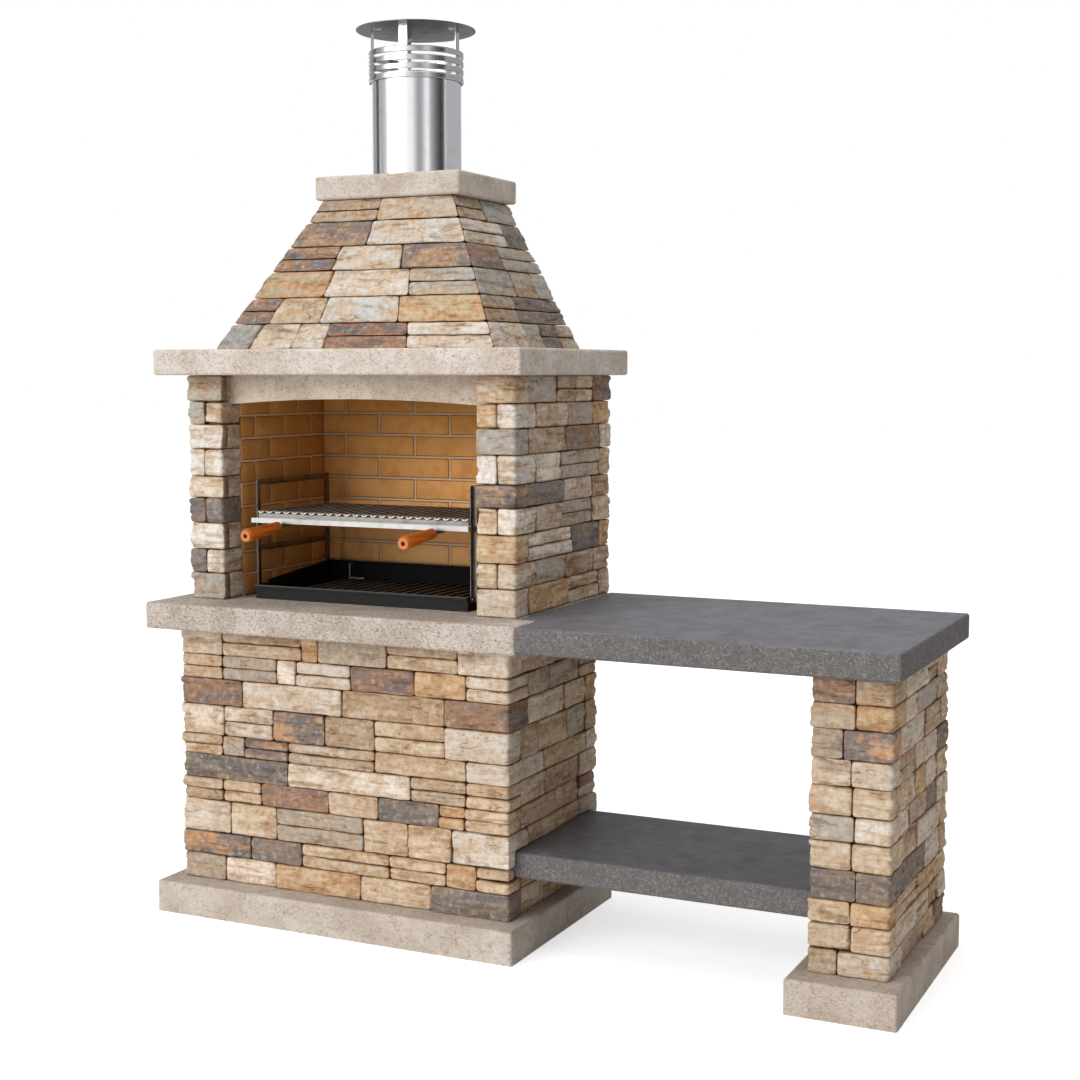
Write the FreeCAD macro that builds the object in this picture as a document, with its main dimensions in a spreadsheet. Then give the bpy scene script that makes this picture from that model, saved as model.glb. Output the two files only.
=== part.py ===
"""Masonry barbecue: stone-faced base, brick-lined firebox, hood, flue, side worktop and grill set.

Millimetres, +Z up. The origin is the centre of the underside of the main plinth, +X runs to
the side worktop and the firebox opens to -Y.
"""
import functools
import math
import os
import random
import re

import FreeCAD
import Part
import Sketcher
from FreeCAD import Placement, Rotation, Vector

SIZES = {
    "plinth_width": 1140.0,
    "plinth_height": 90.0,
    "slab_round": 8.0,
    "base_width": 1056.0,
    "base_setback": 72.0,
    "panel": 60.0,
    "facing": 28.0,
    "stone_chamfer": 5.0,
    "stone_joint": 4.0,
    "hearth_top": 900.0,
    "hearth_thick": 75.0,
    "hearth_width": 1170.0,
    "hearth_depth": 770.0,
    "hearth_overhang": 82.0,
    "hearth_back_overhang": 100.0,
    "firebox_width": 1050.0,
    "firebox_setback": 134.0,
    "firebox_height": 642.0,
    "pier_width": 118.0,
    "pier_return": 98.0,
    "back_wall": 36.0,
    "brick_height": 60.0,
    "back_brick": 240.0,
    "side_brick": 143.0,
    "brick_joint": 6.0,
    "brick_bed": 4.0,
    "joint_recess": 3.0,
    "lintel_recess": 52.0,
    "lintel_thick": 44.0,
    "lintel_drop": 82.0,
    "lintel_rise": 16.0,
    "lintel_bearing": 36.0,
    "mantel_width": 1160.0,
    "mantel_overhang": 84.0,
    "mantel_thick": 72.0,
    "throat_width": 640.0,
    "throat_depth": 330.0,
    "throat_back": 128.0,
    "hood_width": 900.0,
    "hood_depth": 557.0,
    "hood_back_inset": 49.0,
    "hood_top_width": 426.0,
    "hood_top_depth": 341.0,
    "hood_height": 430.0,
    "hood_facing": 30.0,
    "hood_shell": 40.0,
    "flue_throat": 200.0,
    "cap_width": 472.0,
    "cap_depth": 363.0,
    "cap_thick": 67.0,
    "cap_back_overhang": 12.0,
    "flue_diameter": 260.0,
    "flue_wall": 2.0,
    "flue_rise": 290.0,
    "ring_height": 16.0,
    "ring_gap": 8.0,
    "ring_thick": 4.5,
    "ring_inner": 266.0,
    "ring_bottom": 272.0,
    "strap_width": 25.0,
    "strap_thick": 2.0,
    "strap_tab": 26.0,
    "cowl_turn": 13.0,
    "cowl_opening": 62.0,
    "disc_diameter": 346.0,
    "disc_thick": 2.0,
    "disc_rise": 10.0,
    "rivet_head": 8.0,
    "worktop_length": 1000.0,
    "worktop_thick": 70.0,
    "pillar_gap": 822.0,
    "pillar_width": 206.0,
    "pillar_depth": 610.0,
    "pillar_plinth_width": 280.0,
    "plinth_back": 20.0,
    "shelf_top": 273.0,
    "shelf_thick": 70.0,
    "shelf_front_inset": 64.0,
    "shelf_depth": 506.0,
    "shelf_bearing": 58.0,
    "dowel_diameter": 16.0,
    "dowel_length": 160.0,
    "dowel_clearance": 0.5,
    "tray_width": 690.0,
    "tray_setback": 69.0,
    "tray_back_gap": 75.0,
    "tray_front_height": 40.0,
    "tray_side_height": 49.0,
    "tray_rear_height": 75.0,
    "tray_step": 62.0,
    "tray_sheet": 3.0,
    "tray_hem": 8.0,
    "post_inset": 14.0,
    "post_foot": 24.0,
    "angle_leg": 16.0,
    "angle_thick": 3.0,
    "rail_first": 140.0,
    "rail_step": 95.0,
    "grate_clearance": 3.0,
    "grate_back_gap": 14.0,
    "frame_bar": 4.0,
    "frame_height": 11.0,
    "front_bar_height": 26.0,
    "channel_width": 22.0,
    "channel_depth": 6.0,
    "channel_sheet": 2.0,
    "drip_width": 704.0,
    "drip_depth": 22.0,
    "drip_height": 14.0,
    "drip_sheet": 1.5,
    "handle_spacing": 500.0,
    "rod_diameter": 10.0,
    "rod_rear": 46.0,
    "rod_front": 146.0,
    "handle_droop": 5.0,
    "grip_length": 164.0,
    "grip_butt": 38.0,
    "grip_neck": 29.0,
    "grip_start": 14.0,
    "grip_counterbore": 13.0,
    "ember_left": 96.0,
    "ember_right": 20.0,
    "ember_inset": 27.0,
    "ember_bar": 10.0,
    "ember_bar_height": 9.0,
    "bearer_width": 8.0,
    "bearer_height": 13.0,
    "lug_height": 46.0,
    "lug_width": 18.0,
    "lug_length": 52.0,
    "lug_thick": 4.0,
}

DERIVED = {
    "base_depth": "hearth_depth - hearth_overhang - hearth_back_overhang",
    "plinth_depth": "base_depth + base_setback + plinth_back",
    "base_front": "base_setback - plinth_depth / 2",
    "base_back": "base_front + base_depth",
    "base_top": "hearth_top - hearth_thick",
    "base_height": "base_top - plinth_height",
    "hearth_front": "base_front - hearth_overhang",
    "hearth_back": "hearth_front + hearth_depth",
    "firebox_front": "hearth_front + firebox_setback",
    "firebox_depth": "hearth_back - firebox_front",
    "firebox_top": "hearth_top + firebox_height",
    "opening": "firebox_width - 2 * pier_width",
    "wall_core": "pier_width - 2 * facing",
    "lining_start": "firebox_front + pier_return",
    "lining_end": "hearth_back - 2 * facing - back_wall",
    "lintel_front": "firebox_front + lintel_recess",
    "lintel_radius": "(opening * opening / 4 + lintel_rise * lintel_rise) / (2 * lintel_rise)",
    "mantel_depth": "firebox_depth + mantel_overhang",
    "mantel_front": "hearth_back - mantel_depth",
    "mantel_top": "firebox_top + mantel_thick",
    "hood_back": "hearth_back - hood_back_inset",
    "hood_front": "hood_back - hood_depth",
    "hood_top": "mantel_top + hood_height",
    "cap_back": "hood_back + cap_back_overhang",
    "cap_front": "cap_back - cap_depth",
    "cap_top": "hood_top + cap_thick",
    "flue_y": "(cap_front + cap_back) / 2",
    "worktop_start": "hearth_width / 2",
    "tongue": "(hearth_width - firebox_width) / 2",
    "pillar_left": "base_width / 2 + pillar_gap",
    "pillar_front": "base_back - pillar_depth",
    "pillar_top": "hearth_top - worktop_thick",
    "shelf_front": "pillar_front + shelf_front_inset",
    "tray_front": "firebox_front + tray_setback",
    "tray_depth": "lining_end - tray_front - tray_back_gap",
    "rack_front": "tray_front + post_inset",
    "rack_depth": "tray_depth - post_inset",
    "grate_depth": "rack_depth - grate_back_gap",
    "ember_depth": "tray_depth - 2 * ember_inset",
    "grate_width": "tray_width - 2 * grate_clearance",
    "grate_level": "hearth_top + rail_first + rail_step",
}

BASE_COURSES = (78, 69, 76, 87, 58, 69, 64, 94, 67, 73)
BASE_FRONT = (
    "145 265/ 55 220 220/ 155",
    "145/ 185/ 65 180/ 200 160 130/",
    "210 330 320 195",
    "150 165/ 170 160 220/ 195",
    "140/ 75 150/ 280/ 285 130",
    "360 395 170/ 130/",
    "140/ 130/ 225 160 190 80/ 135/",
    "165 155 285/ 140 135 175",
    "230 170 280/ 175/ 90 100/",
    "145 170 280 220 240",
)
FIREBOX_COURSES = (74, 66, 70, 78, 62, 72, 76, 68, 76)
HOOD_COURSES = (66, 72, 70, 76, 74, 72)
PILLAR_COURSES = (70, 62, 74, 66, 72, 64, 70, 76, 58, 66, 62)
SHORTEST_STONE = 105.0
LONGEST_STONE = 285.0
SPLIT_SHARE = 0.3
RELIEF = 4.0
SLIVER = 9000.0
RING_COUNT = 4
STRAP_BEARINGS = (0, 80, 208, 304)
RAIL_COUNT = 3
CHANNEL_COUNT = 24
EMBER_BAR_COUNT = 17
DOWEL_SHARES = (0.3, 0.55, 0.8)

doc = FreeCAD.newDocument("masonry_barbecue")
sheet = doc.addObject("Spreadsheet::Sheet", "sizes")
pieces = []


def fill_sheet():
    """Write the driving sizes and the levels that follow from them into the sheet."""
    rows = [(alias, str(value)) for alias, value in SIZES.items()]
    rows += [(alias, "=" + formula) for alias, formula in DERIVED.items()]
    for row, (alias, content) in enumerate(rows, start=1):
        sheet.set(f"A{row}", alias)
        sheet.set(f"B{row}", content)
        sheet.setAlias(f"B{row}", alias)
    doc.recompute()


def cells(formula):
    """Turn the aliases in a formula into references to the sheet."""
    return re.sub(r"[a-z_]{3,}", lambda found: "sizes." + found.group(0), str(formula))


@functools.lru_cache(maxsize=None)
def mm(formula):
    """Value of a formula written with the sheet's aliases."""
    return float(sheet.evalExpression(cells(formula)))


def keep(thing, name):
    """Name a finished piece and list it for export."""
    thing.Label = name
    pieces.append(thing)
    return thing


def put(thing, x=0, y=0, z=0):
    """Bind the place of a piece to the sheet."""
    for axis, formula in zip("xyz", (x, y, z)):
        thing.setExpression("Placement.Base." + axis, cells(formula))


def plane(body, role):
    """One of a body's own origin planes."""
    return next(item for item in body.Origin.OriginFeatures if item.Role == role)


def new_sketch(body, role, offset=None):
    """Empty sketch on a body's origin plane, optionally moved along the plane's normal."""
    sketch = body.newObject("Sketcher::SketchObject", body.Name + "_sketch")
    sketch.AttachmentSupport = [(plane(body, role), "")]
    sketch.MapMode = "FlatFace"
    if offset is not None:
        sketch.setExpression("AttachmentOffset.Base.z", cells(offset))
    return sketch


def pin_point(sketch, geometry, point, x, y):
    """Fix one point of a sketch at a place given by two formulas."""
    for kind, axis, formula in (("DistanceX", -2, x), ("DistanceY", -1, y)):
        if formula == 0:
            sketch.addConstraint(Sketcher.Constraint("PointOnObject", geometry, point, axis))
            continue
        index = sketch.addConstraint(
            Sketcher.Constraint(kind, -1, 1, geometry, point, mm(formula))
        )
        sketch.setExpression(f"Constraints[{index}]", cells(formula))


def outline(body, role, points, offset=None):
    """Closed outline of straight lines through points given as formulas."""
    sketch = new_sketch(body, role, offset)
    spots = [Vector(mm(x), mm(y), 0) for x, y in points]
    count = len(spots)
    for index in range(count):
        sketch.addGeometry(Part.LineSegment(spots[index], spots[(index + 1) % count]))
    for index, (x, y) in enumerate(points):
        before = (index - 1) % count
        sketch.addConstraint(Sketcher.Constraint("Coincident", before, 2, index, 1))
        pin_point(sketch, index, 1, x, y)
    return sketch


def oblong(body, width, depth, x=0, y=0):
    """Rectangle on the body's XY plane with its lower left corner at x, y."""
    right = f"{x} + {width}" if x else width
    far = f"{y} + {depth}" if y else depth
    return outline(body, "XY_Plane", [(x, y), (right, y), (right, far), (x, far)])


def circles(body, role, centres, diameter, offset=None):
    """Sketch of equal circles."""
    sketch = new_sketch(body, role, offset)
    for index, (x, y) in enumerate(centres):
        spot = Vector(mm(x), mm(y), 0)
        sketch.addGeometry(Part.Circle(spot, Vector(0, 0, 1), mm(diameter) / 2))
        pin_point(sketch, index, 3, x, y)
        row = sketch.addConstraint(Sketcher.Constraint("Diameter", index, mm(diameter)))
        sketch.setExpression(f"Constraints[{row}]", cells(diameter))
    return sketch


def pad(body, sketch, length):
    """Pad a sketch by a formula's length."""
    feature = body.newObject("PartDesign::Pad", body.Name + "_pad")
    feature.Profile = sketch
    feature.setExpression("Length", cells(length))
    sketch.Visibility = False
    doc.recompute()
    return feature


def pocket(body, sketch, length=None, reverse=False):
    """Cut a sketch to a depth, or through everything when no depth is given."""
    feature = body.newObject("PartDesign::Pocket", body.Name + "_pocket")
    feature.Profile = sketch
    feature.Reversed = reverse
    if length is None:
        feature.Type = "ThroughAll"
    else:
        feature.setExpression("Length", cells(length))
    doc.recompute()
    return feature


def turn(body, points):
    """Revolve an outline in the XZ plane about the body's Z axis."""
    sketch = outline(body, "XZ_Plane", points)
    feature = body.newObject("PartDesign::Revolution", body.Name + "_turned")
    feature.Profile = sketch
    feature.ReferenceAxis = (sketch, ["V_Axis"])
    feature.Angle = 360
    doc.recompute()
    return feature


def soften(body, feature, radius, on_ground=False):
    """Round the edges of a slab; a slab on the ground keeps its lower edges sharp."""
    names = []
    for index, edge in enumerate(feature.Shape.Edges, start=1):
        if on_ground and edge.BoundBox.ZMax < 1e-6:
            continue
        names.append(f"Edge{index}")
    rounded = body.newObject("PartDesign::Fillet", body.Name + "_round")
    rounded.Base = (feature, names)
    rounded.setExpression("Radius", cells(radius))
    doc.recompute()
    return rounded


def cut_slab(name, points, thick, on_ground=False):
    """Cast slab of a given outline with softened edges."""
    body = doc.addObject("PartDesign::Body", name)
    block = pad(body, outline(body, "XY_Plane", points), thick)
    soften(body, block, "slab_round", on_ground)
    return keep(body, name)


def slab(name, width, depth, thick, on_ground=False):
    """Oblong cast slab, its lower front left corner at the body's origin."""
    return cut_slab(name, [(0, 0), (width, 0), (width, depth), (0, depth)], thick, on_ground)


def block(name, length, width, height, x, y, z):
    """Plain cast panel bound to the sheet."""
    box = doc.addObject("Part::Box", name)
    box.setExpression("Length", cells(length))
    box.setExpression("Width", cells(width))
    box.setExpression("Height", cells(height))
    put(box, x, y, z)
    return box


def carve(name, solid, hole):
    """Panel with a recess."""
    cut = doc.addObject("Part::Cut", name)
    cut.Base = solid
    cut.Tool = hole
    return keep(cut, name)


def group(name, solids):
    """Separate solids of one kind, kept together under one name."""
    feature = doc.addObject("Part::Feature", name)
    feature.Shape = Part.makeCompound(solids)
    return keep(feature, name)


def solid_of(loops):
    """Solid bounded by flat faces given as point loops."""
    faces = [Part.Face(Part.makePolygon(loop + loop[:1])) for loop in loops]
    shell = Part.makeShell(faces)
    shell.sewShape()
    solid = Part.makeSolid(shell)
    if solid.Volume < 0:
        solid.reverse()
    return solid


def inset(loop, distance):
    """Flat convex loop with every edge moved inwards."""
    normal = (loop[1] - loop[0]).cross(loop[2] - loop[1]).normalize()
    count = len(loop)
    ways = [(loop[(i + 1) % count] - loop[i]).normalize() for i in range(count)]
    result = []
    for i in range(count):
        before, after = ways[i - 1], ways[i]
        lean = before.cross(after).dot(normal)
        shift = (after - before) * (distance / lean)
        result.append(loop[i] + shift)
    return result


def quad_stone(outer, inner, chamfer):
    """Stone between an outer and an inner four-cornered face, its outer edges chamfered."""
    deep = (outer[0] - inner[0]).Length
    normal = (outer[1] - outer[0]).cross(outer[2] - outer[1]).normalize()
    share = chamfer / abs((outer[0] - inner[0]).dot(normal)) if deep else 0
    rim = [out + (back - out) * share for out, back in zip(outer, inner)]
    face = inset(outer, chamfer)
    loops = [face, inner]
    for i in range(4):
        j = (i + 1) % 4
        loops.append([inner[i], inner[j], rim[j], rim[i]])
        loops.append([rim[i], rim[j], face[j], face[i]])
    return solid_of(loops)


def wall_stone(start, along, outward, span, levels, depth, chamfer):
    """Stone on an upright wall; start is the wall corner on the back plane of the facing."""
    low, high = levels
    corners = [(span[0], low), (span[1], low), (span[1], high), (span[0], high)]
    inner = [start + along * u + Vector(0, 0, z) for u, z in corners]
    outer = [spot + outward * depth for spot in inner]
    return quad_stone(outer, inner, chamfer)


def corner_stone(corner, first, second, arms, levels, depth, chamfer):
    """Stone that turns an upright corner; the arms run from the corner along two walls."""
    low, high = levels

    def spot(s, t, z):
        return corner + first * s + second * t + Vector(0, 0, z)

    face = [(arms[0] - chamfer, 0), (0, 0), (0, arms[1] - chamfer)]
    rim = [(arms[0], chamfer), (chamfer, chamfer), (chamfer, arms[1])]
    back = [(arms[0], depth), (depth, depth), (depth, arms[1])]
    loops = []
    for z, face_z in ((low, low + chamfer), (high, high - chamfer)):
        loops.append([spot(*p, z) for p in back] + [spot(*p, z) for p in reversed(rim)])
        for i in (0, 1):
            loops.append(
                [spot(*face[i], face_z), spot(*face[i + 1], face_z), spot(*rim[i + 1], z), spot(*rim[i], z)]
            )
    for i in (0, 1):
        loops.append([spot(*back[i], low), spot(*back[i + 1], low),
                      spot(*back[i + 1], high), spot(*back[i], high)])
        ends = (face[i], face[i + 1])
        loops.append([spot(*ends[0], low + chamfer), spot(*ends[1], low + chamfer),
                      spot(*ends[1], high - chamfer), spot(*ends[0], high - chamfer)])
    for i in (0, 2):
        loops.append([spot(*back[i], low), spot(*rim[i], low), spot(*rim[i], high), spot(*back[i], high)])
        loops.append([spot(*rim[i], low), spot(*face[i], low + chamfer),
                      spot(*face[i], high - chamfer), spot(*rim[i], high)])
    return solid_of(loops)


def course_levels(shares, bottom, height):
    """Lower and upper level of every course, listed from the top down."""
    total = sum(shares)
    top = bottom + height
    levels = []
    for share in shares:
        low = top - height * share / total
        levels.append((low, top))
        top = low
    return levels


def bands(levels, split):
    """One full band of a course, or two thin ones, with the joint taken off."""
    half_joint = mm("stone_joint") / 2
    low, high = levels
    if not split:
        return [(low + half_joint, high - half_joint)]
    middle = low + (high - low) * 0.5
    return [(low + half_joint, middle - half_joint), (middle + half_joint, high - half_joint)]


def random_run(rng, length):
    """Stone lengths that fill a run, with a mark for those laid as two thin stones."""
    stones = []
    left = length
    while left > 0:
        piece = rng.uniform(SHORTEST_STONE, LONGEST_STONE)
        if left - piece < SHORTEST_STONE:
            piece = left
        stones.append((piece, rng.random() < SPLIT_SHARE))
        left -= piece
    return stones


def planned_run(plan, length):
    """Stone lengths from a setting-out row, stretched to fill the run."""
    stones = [(float(word.rstrip("/")), word.endswith("/")) for word in plan.split()]
    total = sum(size for size, split in stones)
    return [(size * length / total, split) for size, split in stones]


def lay_run(rng, wall, begin, run, levels):
    """Stones of one course side by side, from a distance along the wall."""
    start, along, outward = wall
    gap = mm("stone_joint") / 2
    stones = []
    for size, split in run:
        for low, high in bands(levels, split):
            depth = mm("facing") - rng.uniform(0, RELIEF)
            stones.append(wall_stone(start, along, outward, (begin + gap, begin + size - gap),
                                     (low, high), depth, mm("stone_chamfer")))
        begin += size
    return stones


def clear_of(stones, tool):
    """Stones cut back around another piece, without the slivers."""
    result = []
    for stone in stones:
        if not stone.BoundBox.intersect(tool.BoundBox):
            result.append(stone)
            continue
        result += [part for part in stone.cut(tool).Solids if part.Volume > SLIVER]
    return result


class StoneBlock:
    """Stone facing of an upright rectangular block, with stones that turn its corners."""

    def __init__(self, seed, west, east, south, north):
        self.rng = random.Random(seed)
        self.depth = mm("facing")
        self.gap = mm("stone_joint") / 2
        self.spots = [Vector(west, south, 0), Vector(east, south, 0),
                      Vector(east, north, 0), Vector(west, north, 0)]
        self.ways = [Vector(1, 0, 0), Vector(0, 1, 0), Vector(-1, 0, 0), Vector(0, -1, 0)]
        self.faces = {side: [] for side in ("front", "right", "back", "left")}

    def length(self, side):
        """Length of one wall of the block."""
        return (self.spots[(side + 1) % 4] - self.spots[side]).Length

    def wall(self, side):
        """Back plane of the facing on one side: start, way along and way out."""
        outward = self.ways[side - 1]
        return self.spots[side] - outward * self.depth, self.ways[side], outward

    def corner(self, side, arms, levels):
        """Corner stone at the start of a side; arms run back along the last side and on along this one."""
        return corner_stone(self.spots[side], self.ways[side - 1] * -1, self.ways[side],
                            [arm - self.gap for arm in arms], levels, self.depth, mm("stone_chamfer"))

    def course(self, levels, front=None):
        """Lay one course all round; the front may follow a setting-out row."""
        arms = [[self.rng.choice((80.0, 125.0)), self.rng.choice((80.0, 125.0))] for side in range(4)]
        split = [self.rng.random() < SPLIT_SHARE for side in range(4)]
        runs = [None] * 4
        if front:
            row = planned_run(front, self.length(0))
            arms[0][1], split[0] = row[0]
            arms[1][0], split[1] = row[-1]
            runs[0] = row[1:-1]
        for side, name in enumerate(self.faces):
            for band in bands(levels, split[side]):
                owner = "front" if side in (0, 1) else "back"
                self.faces[owner].append(self.corner(side, arms[side], band))
            begin = arms[side][1]
            space = self.length(side) - begin - arms[(side + 1) % 4][0]
            run = runs[side] or random_run(self.rng, space)
            self.faces[name] += lay_run(self.rng, self.wall(side), begin, run, levels)


def base_block():
    """Plinth, hollow base of four panels, its stone facing and the hearth slab."""
    plinth = slab("main_plinth", "plinth_width", "plinth_depth", "plinth_height", on_ground=True)
    put(plinth, "-plinth_width / 2", "-plinth_depth / 2")
    inner_width = "base_width - 2 * facing"
    inner_depth = "base_depth - 2 * facing"
    left = block("base_panel_left", "panel", inner_depth, "base_height",
                 "facing - base_width / 2", "base_front + facing", "plinth_height")
    keep(left, "base_panel_left")
    right = block("base_side", "panel", inner_depth, "base_height",
                  "base_width / 2 - facing - panel", "base_front + facing", "plinth_height")
    recess = block("shelf_recess", "shelf_bearing", "shelf_depth", "shelf_thick",
                   "base_width / 2 - shelf_bearing", "shelf_front", "shelf_top - shelf_thick")
    carve("base_panel_right", right, recess)
    for name, y in (("base_panel_front", "base_front + facing"),
                    ("base_panel_back", "base_back - facing - panel")):
        keep(block(name, inner_width + " - 2 * panel", "panel", "base_height",
                   "facing + panel - base_width / 2", y, "plinth_height"), name)
    notch = "hearth_width - tongue"
    hearth = cut_slab("hearth_slab", [(0, 0), ("hearth_width", 0), ("hearth_width", "firebox_setback"),
                                      (notch, "firebox_setback"), (notch, "hearth_depth"),
                                      (0, "hearth_depth")], "hearth_thick")
    centres = [(f"hearth_depth * {share}", "hearth_thick - worktop_thick / 2") for share in DOWEL_SHARES]
    holes = circles(hearth, "YZ_Plane", centres, "dowel_diameter + 2 * dowel_clearance", notch)
    pocket(hearth, holes, "dowel_length / 2 + dowel_clearance")
    put(hearth, "-hearth_width / 2", "hearth_front", "base_top")


def base_facing():
    """Stones of the base, cut back around the end of the shelf."""
    half = mm("base_width / 2")
    stones = StoneBlock(11, -half, half, mm("base_front"), mm("base_back"))
    levels = course_levels(BASE_COURSES, mm("plinth_height"), mm("base_height"))
    for level, row in zip(levels, BASE_FRONT):
        stones.course(level, row)
    end = shelf_space()
    for side, laid in stones.faces.items():
        group(f"base_stones_{side}", clear_of(laid, end))


def shelf_space():
    """Space that the shelf and its joints take up."""
    joint = mm("stone_joint") / 2
    length = mm("pillar_gap + 2 * shelf_bearing")
    corner = Vector(mm("base_width / 2 - shelf_bearing"), mm("shelf_front") - joint,
                    mm("shelf_top - shelf_thick") - joint)
    return Part.makeBox(length, mm("shelf_depth") + 2 * joint, mm("shelf_thick") + 2 * joint, corner)


def firebox_walls():
    """Side and back walls of the firebox, with recesses for the lintel."""
    depth = "firebox_depth - 2 * facing"
    for name, x, recess_x in (
        ("firebox_wall_left", "facing - firebox_width / 2", "-opening / 2 - lintel_bearing"),
        ("firebox_wall_right", "opening / 2 + facing", "opening / 2"),
    ):
        wall = block(name + "_cast", "wall_core", depth, "firebox_height",
                     x, "firebox_front + facing", "hearth_top")
        recess = block(name + "_recess", "lintel_bearing", "lintel_thick", "lintel_drop",
                       recess_x, "lintel_front", "firebox_top - lintel_drop")
        carve(name, wall, recess)
    keep(block("firebox_wall_back", "opening + 2 * facing", "back_wall", "firebox_height",
               "-opening / 2 - facing", "hearth_back - facing - back_wall", "hearth_top"),
         "firebox_wall_back")


def lining(name, start, along, outward, length, brick, phases):
    """Bricks in running bond and the mortar around them, on one wall of the firebox."""
    joint = mm("brick_joint")
    rise = mm("brick_height") + joint
    thick = mm("facing - brick_bed")
    height = mm("firebox_height")
    pitch = brick + joint
    bricks = []
    row = 0
    while row * rise < height - joint:
        low = row * rise
        high = min(low + mm("brick_height"), height)
        edge = phases[row % 2] % pitch - pitch
        while edge < length:
            begin, end = max(edge + joint, 0), min(edge + pitch, length)
            if end - begin > joint:
                corner = start + along * begin + outward * mm("brick_bed") + Vector(0, 0, low)
                far = corner + along * (end - begin) + outward * thick + Vector(0, 0, high - low)
                lower = Vector(min(corner.x, far.x), min(corner.y, far.y), corner.z)
                size = far - corner
                bricks.append(Part.makeBox(abs(size.x), abs(size.y), size.z, lower))
            edge += pitch
        row += 1
    near = start
    far = start + along * length + outward * mm("facing - joint_recess")
    lower = Vector(min(near.x, far.x), min(near.y, far.y), start.z)
    bed = Part.makeBox(abs(far.x - near.x), abs(far.y - near.y), height, lower)
    group("firebricks_" + name, bricks)
    group("brick_mortar_" + name, [bed.cut(Part.makeCompound(bricks))])


def firebox_lining():
    """Brick lining of the three walls of the firebox."""
    hearth = mm("hearth_top")
    half = mm("opening / 2 + facing")
    start, end = mm("lining_start"), mm("lining_end")
    side = mm("side_brick")
    side_phases = (0.0, side / 2)
    for name, mirror in (("left", -1), ("right", 1)):
        lining(name, Vector(mirror * half, start, hearth), Vector(0, 1, 0), Vector(-mirror, 0, 0),
               end - start, side, side_phases)
    back = mm("back_brick")
    back_phases = (mm("opening / 2") - back / 4, mm("opening / 2") + back / 4)
    lining("back", Vector(-half, end + mm("facing"), hearth), Vector(1, 0, 0), Vector(0, -1, 0),
           2 * half, back, back_phases)


def pier_stones(mirror, levels, number):
    """Stones on the front and the inner return of one pier for one course."""
    gap = mm("stone_joint") / 2
    chamfer = mm("stone_chamfer")
    facing = mm("facing")
    width = mm("pier_width")
    front = mm("firebox_front")
    outer = Vector(mirror * mm("firebox_width / 2"), front, 0)
    inward = Vector(-mirror, 0, 0)
    inner = outer + inward * width
    backward = Vector(0, 1, 0)
    side_arm = (85.0, 130.0)[number % 2]
    full = number % 2 == 0
    front_arm = width if full else width * 0.48
    outer_arm = front_arm if full else front_arm - gap
    stones = [corner_stone(outer, inward, backward, (outer_arm, side_arm - gap), levels, facing, chamfer)]
    if full:
        begin, end = facing + gap, mm("pier_return") - gap
        start = inner - inward * facing + Vector(0, front, 0) - Vector(0, inner.y, 0)
        low, high = levels
        corners = [(begin, low), (end, low), (end, high), (begin, high)]
        back = [start + backward * u + Vector(0, 0, z) for u, z in corners]
        face = [spot + inward * facing for spot in back]
        stones.append(quad_stone(face, back, chamfer))
    else:
        arms = (width - front_arm - gap, mm("pier_return") - gap)
        stones.append(corner_stone(inner, inward * -1, backward, arms, levels, facing, chamfer))
    return stones, side_arm


def firebox_facing():
    """Stones of the piers, the two sides and the back of the firebox."""
    half = mm("firebox_width / 2")
    stones = StoneBlock(23, -half, half, mm("firebox_front"), mm("hearth_back"))
    piers = {-1: [], 1: []}
    for number, level in enumerate(course_levels(FIREBOX_COURSES, mm("hearth_top"), mm("firebox_height"))):
        sides = {}
        for mirror in piers:
            laid, sides[mirror] = pier_stones(mirror, bands(level, False)[0], number)
            piers[mirror] += laid
        back_arms = [[stones.rng.choice((80.0, 125.0)) for arm in range(2)] for side in range(2)]
        for side, arms in zip((2, 3), back_arms):
            stones.faces["back"].append(stones.corner(side, arms, bands(level, False)[0]))
        for side, name, begin, stop in ((1, "right", sides[1], back_arms[0][0]),
                                        (2, "back", back_arms[0][1], back_arms[1][0]),
                                        (3, "left", back_arms[1][1], sides[-1])):
            run = random_run(stones.rng, stones.length(side) - begin - stop)
            stones.faces[name] += lay_run(stones.rng, stones.wall(side), begin, run, level)
    space = Part.makeBox(mm("opening + 2 * lintel_bearing"), mm("lintel_thick"), mm("lintel_drop"),
                         Vector(mm("-opening / 2 - lintel_bearing"), mm("lintel_front"),
                                mm("firebox_top - lintel_drop")))
    group("pier_stones_left", clear_of(piers[-1], space))
    group("pier_stones_right", clear_of(piers[1], space))
    for name in ("right", "back", "left"):
        group(f"firebox_stones_{name}", stones.faces[name])


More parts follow.
